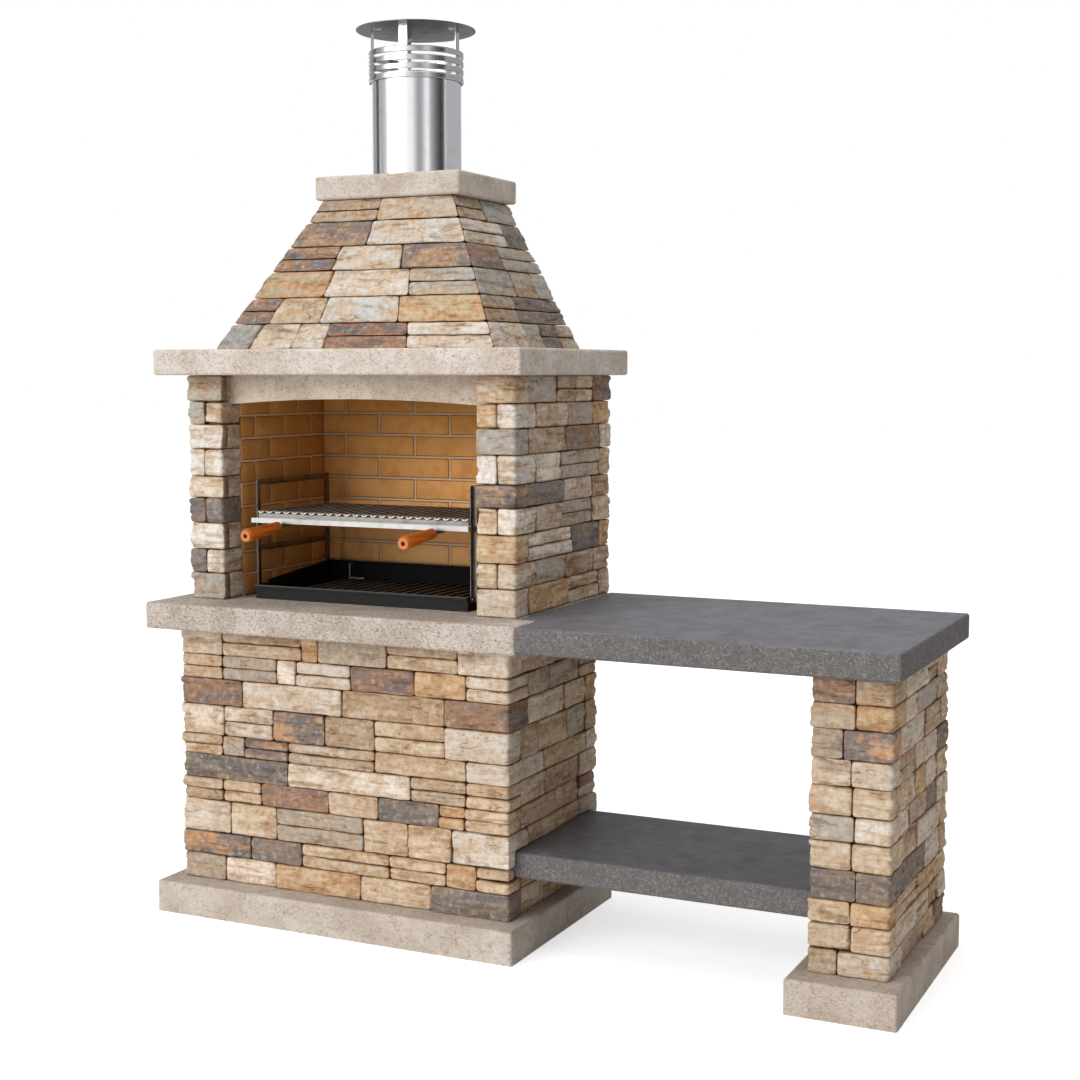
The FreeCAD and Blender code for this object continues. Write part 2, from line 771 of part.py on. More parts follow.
def lintel():
    """Arched lintel that bears in both piers."""
    body = doc.addObject("PartDesign::Body", "lintel")
    sketch = new_sketch(body, "XZ_Plane")
    bearing, span, drop = mm("lintel_bearing"), mm("opening"), mm("lintel_drop")
    radius, rise = mm("lintel_radius"), mm("lintel_rise")
    length = span + 2 * bearing
    left, right = Vector(bearing, 0, 0), Vector(bearing + span, 0, 0)
    middle = Vector(length / 2, rise - radius, 0)
    spread = math.atan2(radius - rise, span / 2)
    arch = Part.Circle(middle, Vector(0, 0, 1), radius)
    start, end = Vector(0, 0, 0), Vector(length, 0, 0)
    top_right, top_left = Vector(length, drop, 0), Vector(0, drop, 0)
    sketch.addGeometry(Part.LineSegment(start, left))
    sketch.addGeometry(Part.ArcOfCircle(arch, spread, math.pi - spread))
    for first, second in ((right, end), (end, top_right), (top_right, top_left), (top_left, start)):
        sketch.addGeometry(Part.LineSegment(first, second))
    full = "opening + 2 * lintel_bearing"
    for pair in ((0, 2, 1, 2), (1, 1, 2, 1), (2, 2, 3, 1), (3, 2, 4, 1), (4, 2, 5, 1), (5, 2, 0, 1)):
        sketch.addConstraint(Sketcher.Constraint("Coincident", *pair))
    corners = ((0, 0, 0), (2, "lintel_bearing + opening", 0), (3, full, 0),
               (4, full, "lintel_drop"), (5, 0, "lintel_drop"))
    for geometry, x, y in corners:
        pin_point(sketch, geometry, 1, x, y)
    pin_point(sketch, 0, 2, "lintel_bearing", 0)
    row = sketch.addConstraint(Sketcher.Constraint("Radius", 1, mm("lintel_radius")))
    sketch.setExpression(f"Constraints[{row}]", cells("lintel_radius"))
    pad(body, sketch, "lintel_thick")
    put(body, "-opening / 2 - lintel_bearing", "lintel_front + lintel_thick", "firebox_top - lintel_drop")
    keep(body, "lintel")


def mantel():
    """Mantel slab with the smoke opening."""
    body = slab("mantel_slab", "mantel_width", "mantel_depth", "mantel_thick")
    hole = oblong(body, "throat_width", "throat_depth", "mantel_width / 2 - throat_width / 2",
                  "mantel_depth - throat_back - throat_depth")
    pocket(body, hole, reverse=True)
    put(body, "-mantel_width / 2", "mantel_front", "firebox_top")


def wedge(name, low, high):
    """Truncated pyramid between two level rectangles given as west, east, south, north formulas."""
    shape = doc.addObject("Part::Wedge", name)
    rows = {"Xmin": low[0], "Xmax": low[1], "Zmin": low[2], "Zmax": low[3],
            "X2min": high[0], "X2max": high[1], "Z2min": high[2], "Z2max": high[3],
            "Ymin": "0", "Ymax": "hood_height"}
    for key, formula in rows.items():
        shape.setExpression(key, cells(formula))
    shape.Placement = Placement(Vector(0, 0, 0), Rotation(Vector(1, 0, 0), 90))
    shape.setExpression("Placement.Base.z", cells("mantel_top"))
    return shape


def hood_shell():
    """Cast hollow hood under the stones."""
    skin = "hood_facing"
    both = "(hood_facing + hood_shell)"
    outer = wedge("hood_outside",
                  (f"{skin} - hood_width / 2", f"hood_width / 2 - {skin}",
                   f"{skin} - hood_back", f"-hood_front - {skin}"),
                  (f"{skin} - hood_top_width / 2", f"hood_top_width / 2 - {skin}",
                   f"{skin} - hood_back", f"hood_top_depth - hood_back - {skin}"))
    inner = wedge("hood_inside",
                  (f"{both} - hood_width / 2", f"hood_width / 2 - {both}",
                   f"{both} - hood_back", f"-hood_front - {both}"),
                  ("-flue_throat / 2", "flue_throat / 2",
                   "-flue_y - flue_throat / 2", "flue_throat / 2 - flue_y"))
    carve("hood_shell", outer, inner)


def hood_facing():
    """Stones of the four faces of the hood, fanned with the slope and mitred at the hips."""
    rng = random.Random(37)
    gap = mm("stone_joint") / 2
    skin = mm("hood_facing")
    low = [mm(f) for f in ("-hood_width / 2", "hood_width / 2", "hood_front", "hood_back")]
    high = [mm(edge) for edge in ("-hood_top_width / 2", "hood_top_width / 2",
                                  "hood_back - hood_top_depth", "hood_back")]
    bottom, height = mm("mantel_top"), mm("hood_height")

    def ring(z, inwards):
        share = (z - bottom) / height
        west, east, south, north = [a + (b - a) * share for a, b in zip(low, high)]
        west, east, south, north = west + inwards, east - inwards, south + inwards, north - inwards
        return [Vector(west, south, z), Vector(east, south, z),
                Vector(east, north, z), Vector(west, north, z)]

    def along(z, inwards, side, share):
        corners = ring(z, inwards)
        return corners[side] + (corners[(side + 1) % 4] - corners[side]) * share

    for side, name in enumerate(("front", "right", "back", "left")):
        stones = []
        for levels in course_levels(HOOD_COURSES, bottom, height):
            length = (along(levels[0], 0, side, 1) - along(levels[0], 0, side, 0)).Length
            begin = 0.0
            for size, split in random_run(rng, length):
                span = ((begin + gap) / length, (begin + size - gap) / length)
                for z0, z1 in bands(levels, split):
                    spots = ((z0, span[0]), (z0, span[1]), (z1, span[1]), (z1, span[0]))
                    face = [along(z, 0, side, share) for z, share in spots]
                    back = [along(z, skin, side, share) for z, share in spots]
                    stones.append(quad_stone(face, back, mm("stone_chamfer")))
                begin += size
        group(f"hood_stones_{name}", stones)


def cap():
    """Cap slab with the hole that the flue stands in."""
    body = slab("cap_slab", "cap_width", "cap_depth", "cap_thick")
    hole = circles(body, "XY_Plane", [("cap_width / 2", "cap_depth / 2")], "flue_diameter + 1")
    pocket(body, hole, reverse=True)
    put(body, "-cap_width / 2", "cap_front", "hood_top")


def flue():
    """Flue pipe and the open cowl on it."""
    body = doc.addObject("PartDesign::Body", "flue_pipe")
    outer, inner = "flue_diameter / 2", "flue_diameter / 2 - flue_wall"
    top = "cap_thick + flue_rise"
    turn(body, [(inner, 0), (outer, 0), (outer, top), (inner, top)])
    put(body, 0, "flue_y", "hood_top")
    keep(body, "flue_pipe")

    axis = Vector(0, mm("flue_y"), 0)
    bottom = mm("cap_top + ring_bottom")
    ring_height, ring_thick, ring_inner = mm("ring_height"), mm("ring_thick"), mm("ring_inner / 2")
    bulge = ring_inner + ring_thick
    rings = []
    for number in range(RING_COUNT):
        low = bottom + number * (ring_height + mm("ring_gap"))
        place = axis + Vector(0, 0, low)
        band = Part.makeCylinder(bulge, ring_height, place)
        band = band.makeFillet(ring_thick / 2, [edge for edge in band.Edges if edge.Closed])
        rings.append(band.cut(Part.makeCylinder(ring_inner, ring_height, place)))
    group("cowl_rings", rings)

    ring_top = bottom + RING_COUNT * ring_height + (RING_COUNT - 1) * mm("ring_gap")
    disc_bottom = ring_top + mm("cowl_opening")
    width, thick, tab = mm("strap_width"), mm("strap_thick"), mm("strap_tab")
    start = mm("flue_diameter / 2") + 0.2
    straps, rivets = [], []
    for bearing in STRAP_BEARINGS:
        face = -start - thick
        upright = Part.makeBox(width, thick, disc_bottom - bottom, Vector(-width / 2, face, bottom))
        fold = Part.makeBox(width, tab, thick, Vector(-width / 2, face, disc_bottom - thick))
        strap = upright.fuse(fold).removeSplitter()
        spot = Vector(0, -start + tab / 2 - thick, disc_bottom - thick)
        cut = mm("rivet_head")
        head = Part.makeSphere(cut / 2, spot, Vector(0, 0, -1))
        head = head.common(Part.makeBox(2 * cut, 2 * cut, cut,
                                        spot - Vector(cut, cut, cut)))
        turned = Rotation(Vector(0, 0, 1), mm("cowl_turn") + bearing)
        for shape, kept in ((strap, straps), (head, rivets)):
            shape.Placement = Placement(axis, turned).multiply(shape.Placement)
            kept.append(shape)
    group("cowl_straps", straps)
    group("cowl_rivets", rivets)

    disc = doc.addObject("PartDesign::Body", "cowl_disc")
    rim = "disc_diameter / 2"
    flat = "ring_inner / 2 - 6"
    turn(disc, [(0, 0), (rim, 0), (rim, "disc_thick"), (flat, "disc_thick"), (0, "disc_thick + disc_rise")])
    put(disc, 0, "flue_y", f"cap_top + ring_bottom + cowl_opening + {RING_COUNT} * ring_height"
        f" + {RING_COUNT - 1} * ring_gap")
    keep(disc, "cowl_disc")


def side_unit():
    """Side worktop, shelf, pillar core and pillar plinth, with the dowels to the hearth slab."""
    end = "tongue + worktop_length"
    top = cut_slab("side_worktop", [("tongue", 0), (end, 0), (end, "hearth_depth"), (0, "hearth_depth"),
                                    (0, "firebox_setback"), ("tongue", "firebox_setback")],
                   "worktop_thick")
    centres = [(f"hearth_depth * {share}", "worktop_thick / 2") for share in DOWEL_SHARES]
    holes = circles(top, "YZ_Plane", centres, "dowel_diameter + 2 * dowel_clearance")
    pocket(top, holes, "dowel_length / 2 + dowel_clearance", reverse=True)
    put(top, "worktop_start - tongue", "hearth_front", "hearth_top - worktop_thick")
    dowels = []
    for share in DOWEL_SHARES:
        start = Vector(mm("worktop_start - tongue - dowel_length / 2"),
                       mm(f"hearth_front + hearth_depth * {share}"), mm("hearth_top - worktop_thick / 2"))
        dowels.append(Part.makeCylinder(mm("dowel_diameter / 2"), mm("dowel_length"),
                                        start, Vector(1, 0, 0)))
    group("worktop_dowels", dowels)

    shelf = slab("side_shelf", "pillar_gap + 2 * shelf_bearing", "shelf_depth", "shelf_thick")
    put(shelf, "base_width / 2 - shelf_bearing", "shelf_front", "shelf_top - shelf_thick")

    core = block("pillar_cast", "pillar_width - 2 * facing", "pillar_depth - 2 * facing",
                 "pillar_top - plinth_height",
                 "pillar_left + facing", "pillar_front + facing", "plinth_height")
    recess = block("pillar_recess", "shelf_bearing", "shelf_depth", "shelf_thick",
                   "pillar_left", "shelf_front", "shelf_top - shelf_thick")
    carve("pillar_core", core, recess)
    foot = slab("pillar_plinth", "pillar_plinth_width", "pillar_depth + base_setback + plinth_back",
                "plinth_height", on_ground=True)
    put(foot, "pillar_left + pillar_width / 2 - pillar_plinth_width / 2", "pillar_front - base_setback")


def pillar_facing():
    """Stones of the pillar, cut back around the end of the shelf."""
    left = mm("pillar_left")
    stones = StoneBlock(53, left, left + mm("pillar_width"), mm("pillar_front"), mm("base_back"))
    gap = stones.gap
    for level in course_levels(PILLAR_COURSES, mm("plinth_height"), mm("pillar_top - plinth_height")):
        share = stones.rng.uniform(0.36, 0.64)
        width = stones.length(0)
        fronts = (width * share, width * (1 - share))
        backs = (width * (1 - share), width * share)
        sides = [stones.rng.choice((80.0, 125.0)) for corner in range(4)]
        arms = [(sides[0], fronts[0]), (fronts[1], sides[1]), (sides[2], backs[0]), (backs[1], sides[3])]
        for side in range(4):
            owner = "front" if side in (0, 1) else "back"
            stones.faces[owner].append(stones.corner(side, arms[side], (level[0] + gap, level[1] - gap)))
        for side, name in ((1, "right"), (3, "left")):
            begin = arms[side][1]
            space = stones.length(side) - begin - arms[(side + 1) % 4][0]
            stones.faces[name] += lay_run(stones.rng, stones.wall(side), begin,
                                          random_run(stones.rng, space), level)
    end = shelf_space()
    for side, laid in stones.faces.items():
        group(f"pillar_stones_{side}", clear_of(laid, end))


def tray():
    """Charcoal tray of folded sheet: low front, sides that rise to the rear, hemmed edges."""
    body = doc.addObject("PartDesign::Body", "charcoal_tray")
    pad(body, oblong(body, "tray_width", "tray_depth"), "tray_rear_height")
    space = oblong(body, "tray_width - 2 * tray_sheet", "tray_depth - 2 * tray_sheet",
                   "tray_sheet", "tray_sheet")
    space.setExpression("AttachmentOffset.Base.z", cells("tray_rear_height"))
    pocket(body, space, "tray_rear_height - tray_sheet")
    above = "tray_rear_height + tray_sheet"
    rear = "tray_depth - tray_sheet"
    side = outline(body, "YZ_Plane", [
        (0, "tray_front_height"), ("tray_step", "tray_front_height"), ("tray_step", "tray_side_height"),
        (rear, "tray_rear_height"), (rear, above), (0, above)])
    pocket(body, side, "tray_width", reverse=True)
    hem = outline(body, "YZ_Plane", [
        (0, "tray_front_height - tray_hem"), (0, "tray_front_height"),
        ("-tray_hem", "tray_front_height"), ("-tray_hem", "tray_front_height - tray_hem")])
    pad(body, hem, "tray_width")
    lip = outline(body, "YZ_Plane", [
        (rear, "tray_rear_height - tray_sheet"), (rear, "tray_rear_height"),
        (rear + " - tray_hem", "tray_rear_height"), (rear + " - tray_hem", "tray_rear_height - tray_sheet")])
    pad(body, lip, "tray_width")
    put(body, "-tray_width / 2", "tray_front", "hearth_top")
    keep(body, "charcoal_tray")


def angle(corner, along, first, second, length):
    """Rolled steel angle from its outer corner, with its legs along two ways."""
    leg, thick = mm("angle_leg"), mm("angle_thick")
    section = [(0, 0), (leg, 0), (leg, thick), (thick, thick), (thick, leg), (0, leg)]
    spots = [corner + first * a + second * b for a, b in section]
    return Part.Face(Part.makePolygon(spots + spots[:1])).extrude(along * length)


def racks():
    """Left and right rack of angle posts and rails, bolted to the tray's sides."""
    half = mm("tray_width / 2")
    leg = mm("angle_leg")
    thick = mm("angle_thick")
    front, depth = mm("rack_front"), mm("rack_depth")
    hearth = mm("hearth_top")
    foot = hearth + mm("post_foot")
    top = hearth + mm("rail_first") + (RAIL_COUNT - 1) * mm("rail_step") + leg - thick
    up, back = Vector(0, 0, 1), Vector(0, 1, 0)
    bolts = []
    for name, mirror in (("left", -1), ("right", 1)):
        out = Vector(mirror, 0, 0)
        posts = [angle(Vector(mirror * half, front + leg, foot), up, out, back * -1, top - foot),
                 angle(Vector(mirror * half, front + depth, foot), up, out, back * -1, top - foot)]
        rails = []
        for number in range(RAIL_COUNT):
            ledge = hearth + mm("rail_first") + number * mm("rail_step")
            corner = Vector(mirror * (half + thick), front + leg, ledge - thick)
            rails.append(angle(corner, back, out * -1, up, depth - 2 * leg))
        group(f"rack_{name}", posts + rails)
        for y in (front + leg * 0.4, front + depth - leg * 0.6):
            spot = Vector(mirror * (half + thick), y, hearth + mm("(post_foot + tray_front_height) / 2"))
            bolts.append(Part.makeCylinder(mm("rivet_head / 2"), 4.0, spot, out))
    group("rack_bolts", bolts)


def grate_parts():
    """Cooking grate: frame, V channels, drip channel, handle rods and wooden grips."""
    level = mm("grate_level")
    half, depth = mm("grate_width / 2"), mm("grate_depth")
    bar, height = mm("frame_bar"), mm("frame_height")
    front = mm("rack_front") - 1.0
    rear = front + depth
    bottom = level + height - mm("front_bar_height")
    frame = Part.makeBox(2 * half, bar, mm("front_bar_height"), Vector(-half, front, bottom))
    frame = frame.multiFuse([
        Part.makeBox(2 * half, bar, height, Vector(-half, rear - bar, level)),
        Part.makeBox(bar, depth, height, Vector(-half, front, level)),
        Part.makeBox(bar, depth, height, Vector(half - bar, front, level))]).removeSplitter()
    group("grate_frame", [frame])

    width, deep, sheet_thick = mm("channel_width"), mm("channel_depth"), mm("channel_sheet")
    lean = sheet_thick * math.hypot(width / 2, deep) / (width / 2)
    side = sheet_thick * math.hypot(width / 2, deep) / deep
    foot = sheet_thick
    pitch = (2 * half - width) / (CHANNEL_COUNT - 1)
    overhang = 4.0
    channels = []
    for number in range(CHANNEL_COUNT):
        x = -half + width / 2 + number * pitch
        z = level + height
        section = [(-width / 2, deep), (-foot / 2, 0), (foot / 2, 0), (width / 2, deep),
                   (width / 2 - side, deep), (0, lean), (side - width / 2, deep)]
        spots = [Vector(x + a, front - overhang, z + b) for a, b in section]
        face = Part.Face(Part.makePolygon(spots + spots[:1]))
        channels.append(face.extrude(Vector(0, depth + overhang, 0)))
    group("grate_channels", channels)

    drip_half, drip_depth = mm("drip_width / 2"), mm("drip_depth")
    drip_height, skin = mm("drip_height"), mm("drip_sheet")
    outer = Part.makeBox(2 * drip_half, drip_depth, drip_height,
                         Vector(-drip_half, front - drip_depth, bottom))
    inner = Part.makeBox(2 * drip_half - 2 * skin, drip_depth - 2 * skin, drip_height,
                         Vector(skin - drip_half, front - drip_depth + skin, bottom + skin))
    group("drip_channel", [outer.cut(inner)])

    radius = mm("rod_diameter / 2")
    droop = math.radians(mm("handle_droop"))
    way = Vector(0, -math.cos(droop), -math.sin(droop))
    bend_y = front - drip_depth
    rods = []
    for name, mirror in (("left", -1), ("right", 1)):
        bend = Vector(mirror * mm("handle_spacing / 2"), bend_y, bottom - radius)
        rear_rod = Part.makeCylinder(radius, mm("rod_rear"), bend, Vector(0, 1, 0))
        front_rod = Part.makeCylinder(radius, mm("rod_front"), bend, way)
        rods.append(rear_rod.multiFuse([front_rod, Part.makeSphere(radius, bend)]).removeSplitter())
        grip = doc.addObject("PartDesign::Body", "grip_" + name)
        bore = "rod_diameter / 2 + 0.3"
        depth_in = "rod_front - grip_start + 2"
        hole = "grip_counterbore / 2"
        turn(grip, [
            (bore, 0), ("grip_neck / 2 - 3", 0), ("grip_neck / 2", 4),
            ("grip_neck / 2 + 1", "grip_length * 0.3"),
            ("grip_butt / 2 - 1", "grip_length - 24"), ("grip_butt / 2", "grip_length - 9"),
            ("grip_butt / 2 - 4", "grip_length"), (hole, "grip_length"), (hole, depth_in), (bore, depth_in)])
        keep(grip, "grip_" + name)
        grip.Placement = Placement(bend + way * mm("grip_start"), Rotation(Vector(0, 0, 1), way))
    group("handle_rods", rods)


def ember_grate():
    """Ember grate that lies in the tray: bars on two bearers, with a lug to lift it by."""
    floor = mm("hearth_top + tray_sheet")
    west = mm("ember_left - tray_width / 2")
    east = mm("tray_width / 2 - ember_right")
    depth = mm("ember_depth")
    front = mm("tray_front + ember_inset")
    rise = mm("bearer_height")
    bearers = [Part.makeBox(east - west, mm("bearer_width"), rise,
                            Vector(west, front + depth * share, floor))
               for share in (0.12, 0.8)]
    group("ember_bearers", bearers)
    width, height = mm("ember_bar"), mm("ember_bar_height")
    pitch = (east - west - width) / (EMBER_BAR_COUNT - 1)
    bars = [Part.makeBox(width, depth, height, Vector(west + number * pitch, front, floor + rise))
            for number in range(EMBER_BAR_COUNT)]
    group("ember_bars", bars)
    thick, lug_width, lug_length = mm("lug_thick"), mm("lug_width"), mm("lug_length")
    base = floor + rise + height
    place = Vector(west, front + depth - lug_width, base)
    lug = Part.makeBox(lug_length, lug_width, thick, place).fuse(
        Part.makeBox(thick, lug_width, mm("lug_height"), place)).removeSplitter()
    group("ember_lug", [lug])


def export():
    """Check every piece and write it out."""
    doc.recompute()
    os.makedirs("parts", exist_ok=True)
    for thing in doc.Objects:
        if any(word in thing.State for word in ("Invalid", "Error")):
            raise RuntimeError(f"{thing.Name}: {thing.State}")
    for piece in pieces:
        if piece.Shape.isNull() or not piece.Shape.isValid() or not piece.Shape.Solids:
            raise RuntimeError(f"{piece.Label}: not a valid solid")
        if min(solid.Volume for solid in piece.Shape.Solids) <= 0:
            raise RuntimeError(f"{piece.Label}: empty solid")
        piece.Shape.exportStep(f"parts/{piece.Label}.step")
        box = piece.Shape.BoundBox
        print(f"{piece.Label}: {len(piece.Shape.Solids)} solids, "
              f"x {box.XMin:.1f} {box.XMax:.1f} "
              f"y {box.YMin:.1f} {box.YMax:.1f} z {box.ZMin:.1f} {box.ZMax:.1f}")


fill_sheet()
base_block()
base_facing()
firebox_walls()
firebox_lining()
firebox_facing()
lintel()
mantel()
hood_shell()
hood_facing()
cap()
flue()
side_unit()
pillar_facing()
tray()
racks()
grate_parts()
ember_grate()
export()
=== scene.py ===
"""Looks of the masonry barbecue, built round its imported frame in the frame's own axes and metres."""
import logging
import math
import random
from dataclasses import dataclass, field
from enum import Enum

import bmesh
import bpy
import numpy as np
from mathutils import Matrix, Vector, noise


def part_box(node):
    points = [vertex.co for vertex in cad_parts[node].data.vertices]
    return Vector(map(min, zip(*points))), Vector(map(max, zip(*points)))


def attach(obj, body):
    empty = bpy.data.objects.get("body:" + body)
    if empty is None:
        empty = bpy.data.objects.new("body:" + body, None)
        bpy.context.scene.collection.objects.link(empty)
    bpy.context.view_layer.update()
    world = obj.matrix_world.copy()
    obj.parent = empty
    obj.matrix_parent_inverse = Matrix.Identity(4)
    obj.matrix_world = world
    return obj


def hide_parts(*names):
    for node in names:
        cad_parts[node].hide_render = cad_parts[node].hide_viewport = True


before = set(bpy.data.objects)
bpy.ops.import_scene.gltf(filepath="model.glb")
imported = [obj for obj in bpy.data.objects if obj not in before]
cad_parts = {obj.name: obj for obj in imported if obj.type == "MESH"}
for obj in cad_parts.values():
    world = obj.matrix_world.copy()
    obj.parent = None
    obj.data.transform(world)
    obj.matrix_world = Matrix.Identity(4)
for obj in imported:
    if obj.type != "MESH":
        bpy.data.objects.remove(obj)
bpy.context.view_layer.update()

LOG = logging.getLogger("barbecue")
Colour = tuple[float, float, float, float]
Point = tuple[float, float, float]
Faces = list[tuple[int, ...]]
Material = bpy.types.Material
WELD = 1e-5  # metres within which two points are one
LEVEL = 1e-4  # metres within which points lie on one level


def paint(red: int, green: int, blue: int) -> Colour:
    """Turn a colour as seen, 0 to 255 a channel, into the linear colour that shaders use.

    Args:
        red: Red as seen.
        green: Green as seen.
        blue: Blue as seen.

    Returns:
        Linear red, green and blue with a full alpha.
    """
    seen = (red / 255, green / 255, blue / 255)
    linear = [part / 12.92 if part <= 0.04045 else ((part + 0.055) / 1.055) ** 2.4 for part in seen]
    return (linear[0], linear[1], linear[2], 1.0)


def put(name: str, data: bpy.types.ID) -> bpy.types.Object:
    """Put a mesh, a light or a camera into the scene.

    Args:
        name: Name of the object.
        data: What the object holds.

    Returns:
        The object.
    """
    thing = bpy.data.objects.new(name, data)
    bpy.context.scene.collection.objects.link(thing)
    return thing


class Wire:
    """A shader socket that takes part in Python arithmetic."""

    def __init__(self, sheet: "FinishSheet", socket: bpy.types.NodeSocket) -> None:
        """Wrap a socket of a finish's node tree."""
        self.sheet = sheet
        self.socket = socket

    def _math(self, operation: str, first: "Wire | float", second: "Wire | float") -> "Wire":
        """Add one Math node."""
        return self.sheet.node("ShaderNodeMath", {"operation": operation}, {0: first, 1: second})

    def __add__(self, other: "Wire | float") -> "Wire":
        """Sum."""
        return self._math("ADD", self, other)

    __radd__ = __add__

    def __sub__(self, other: "Wire | float") -> "Wire":
        """Difference."""
        return self._math("SUBTRACT", self, other)

    def __rsub__(self, other: float) -> "Wire":
        """Difference from a number."""
        return self._math("SUBTRACT", other, self)

    def __mul__(self, other: "Wire | float") -> "Wire":
        """Product."""
        return self._math("MULTIPLY", self, other)

    __rmul__ = __mul__

    def __abs__(self) -> "Wire":
        """Size without the sign."""
        return self._math("ABSOLUTE", self, 0.0)


class FinishSheet:
    """Node tree of one finish, from its coordinates to its shader."""

    def __init__(self, name: str, world: bpy.types.World | None = None) -> None:
        """Start an empty node tree.

        Args:
            name: Name of the finish.
            world: World that is drawn, or None for a new material.
        """
        self.material = world or bpy.data.materials.new(name)
        self.material.use_nodes = True
        self.tree = self.material.node_tree
        self.tree.nodes.clear()
        self.place = self.node("ShaderNodeTexCoord", out="Object")

    def node(self, kind: str, settings: dict | None = None, sockets: dict | None = None,
             out: str | int = 0) -> Wire:
        """Add a node, set it up, then fill its sockets.

        Args:
            kind: Type of the node.
            settings: Properties of the node, set first.
            sockets: Value or wire for each input, by its name or number.
            out: Name or number of the output that is handed on.

        Returns:
            The chosen output.
        """
        made = self.tree.nodes.new(kind)
        for name, value in (settings or {}).items():
            setattr(made, name, value)
        for key, value in (sockets or {}).items():
            if isinstance(value, Wire):
                self.tree.links.new(value.socket, made.inputs[key])
            else:
                made.inputs[key].default_value = value
        return Wire(self, made.outputs[out])

    def attribute(self, name: str, out: str) -> Wire:
        """Read a value that the mesh carries."""
        return self.node("ShaderNodeAttribute", {"attribute_name": name}, out=out)

    def mix(self, share: Wire | float, first: Wire | Colour, second: Wire | Colour,
            blend: str = "MIX") -> Wire:
        """Mix two colours."""
        return self.node("ShaderNodeMix", {"data_type": "RGBA", "blend_type": blend},
                         {0: share, 6: first, 7: second}, out=2)

    def coats(self, colour: Wire | Colour, *layers: tuple) -> Wire:
        """Lay colours over one another.

        Args:
            colour: The lowest colour.
            *layers: Share and colour of each coat, and its blend where it doesn't simply cover.

        Returns:
            The colour that shows.
        """
        for share, *coat in layers:
            colour = self.mix(share, colour, *coat)
        return colour

    def axis(self, vector: Wire, letter: str) -> Wire:
        """Take one part of a vector, X, Y or Z."""
        return self.node("ShaderNodeSeparateXYZ", None, {0: vector}, out=letter)

    def vector(self, operation: str, first: Wire | Point, second: Wire | Point) -> Wire:
        """Combine two vectors."""
        return self.node("ShaderNodeVectorMath", {"operation": operation}, {0: first, 1: second})

    def spread(self, number: Wire, way: Point) -> Wire:
        """Turn a number into a shift along a direction."""
        return self.node("ShaderNodeVectorMath", {"operation": "SCALE"}, {0: way, "Scale": number})

    def stretched(self, place: Wire, scale: Point) -> Wire:
        """Scale a place by a different amount along each axis."""
        return self.vector("MULTIPLY", place, scale)

    def bent(self, place: Wire, scale: float, reach: float) -> Wire:
        """Push a place about, so that what is drawn there runs in waves.

        Args:
            place: The place.
            scale: Waves per metre.
            reach: Widest push in metres, from one side to the other.

        Returns:
            The pushed place.
        """
        push = self.node("ShaderNodeTexNoise", None, {"Vector": place, "Scale": scale, "Detail": 3.0},
                         out="Color")
        centred = self.vector("SUBTRACT", push, (0.5, 0.5, 0.5))
        return self.vector("ADD", place, self.stretched(centred, (reach, reach, reach)))

    def cloud(self, scale: float, detail: float, rough: float, place: Wire | None = None,
              swirl: float = 0.0) -> Wire:
        """Soft random pattern, scale in patches per metre."""
        return self.node("ShaderNodeTexNoise", None,
                         {"Vector": place or self.place, "Scale": scale, "Detail": detail,
                          "Roughness": rough, "Distortion": swirl})

    def cells(self, scale: float, place: Wire) -> Wire:
        """Distance to the middle of random cells, scale in cells per metre."""
        return self.node("ShaderNodeTexVoronoi", None, {"Vector": place, "Scale": scale}, "Distance")

    def band(self, wire: Wire, low: float, high: float) -> Wire:
        """Ease a value from 0 at low to 1 at high."""
        return self.node("ShaderNodeMapRange", {"interpolation_type": "SMOOTHSTEP"},
                         {0: wire, 1: low, 2: high})

    def bump(self, height: Wire, strength: float, depth: float) -> Wire:
        """Turn a height pattern, depth in metres, into a normal."""
        return self.node("ShaderNodeBump", None, {"Height": height, "Strength": strength, "Distance": depth})

    def surface(self, **sockets: Wire | float | Colour) -> Material:
        """Close the tree with the main shader.

        Args:
            **sockets: Inputs of the shader, with underscores for the spaces in their names.

        Returns:
            The finished material.
        """
        named = {name.replace("_", " "): value for name, value in sockets.items()}
        self.close(self.node("ShaderNodeBsdfPrincipled", None, named))
        return self.material

    def close(self, shader: Wire, kind: str = "ShaderNodeOutputMaterial") -> None:
        """Link a shader to the tree's output."""
        end = self.tree.nodes.new(kind)
        self.tree.links.new(shader.socket, end.inputs["Surface"])


class Tone(Enum):
    """Tones of stones and bricks: main colour, colour of the patches on it, and how strong they are."""

    CREAM = ((228, 214, 199), (203, 178, 149), 0.70)
    SAND = ((217, 197, 172), (192, 158, 123), 0.70)
    TAN = ((198, 179, 157), (178, 144, 110), 0.70)
    OCHRE = ((211, 181, 143), (192, 148, 106), 0.75)
    RUST = ((196, 152, 115), (128, 117, 112), 0.90)
    RUSSET = ((130, 117, 111), (172, 132, 102), 0.70)
    GREY = ((183, 172, 159), (186, 160, 130), 0.50)
    SLATE = ((122, 115, 111), (168, 142, 118), 0.42)
    BRICK = ((244, 178, 94), (214, 138, 66), 0.45)

    @property
    def colour(self) -> Colour:
        """Linear main colour."""
        return paint(*self.value[0])

    @property
    def patch(self) -> Colour:
        """Linear colour of the patches, with their strength as its alpha."""
        return (*paint(*self.value[1])[:3], self.value[2])


TONE_LETTERS = {"C": Tone.CREAM, "S": Tone.SAND, "T": Tone.TAN, "O": Tone.OCHRE, "R": Tone.RUST,
                "D": Tone.RUSSET, "G": Tone.GREY, "K": Tone.SLATE}
USUAL_TONES = "CCCCCCCCCCSSSSSSSSTTTTTTOOORRDDGGGK"


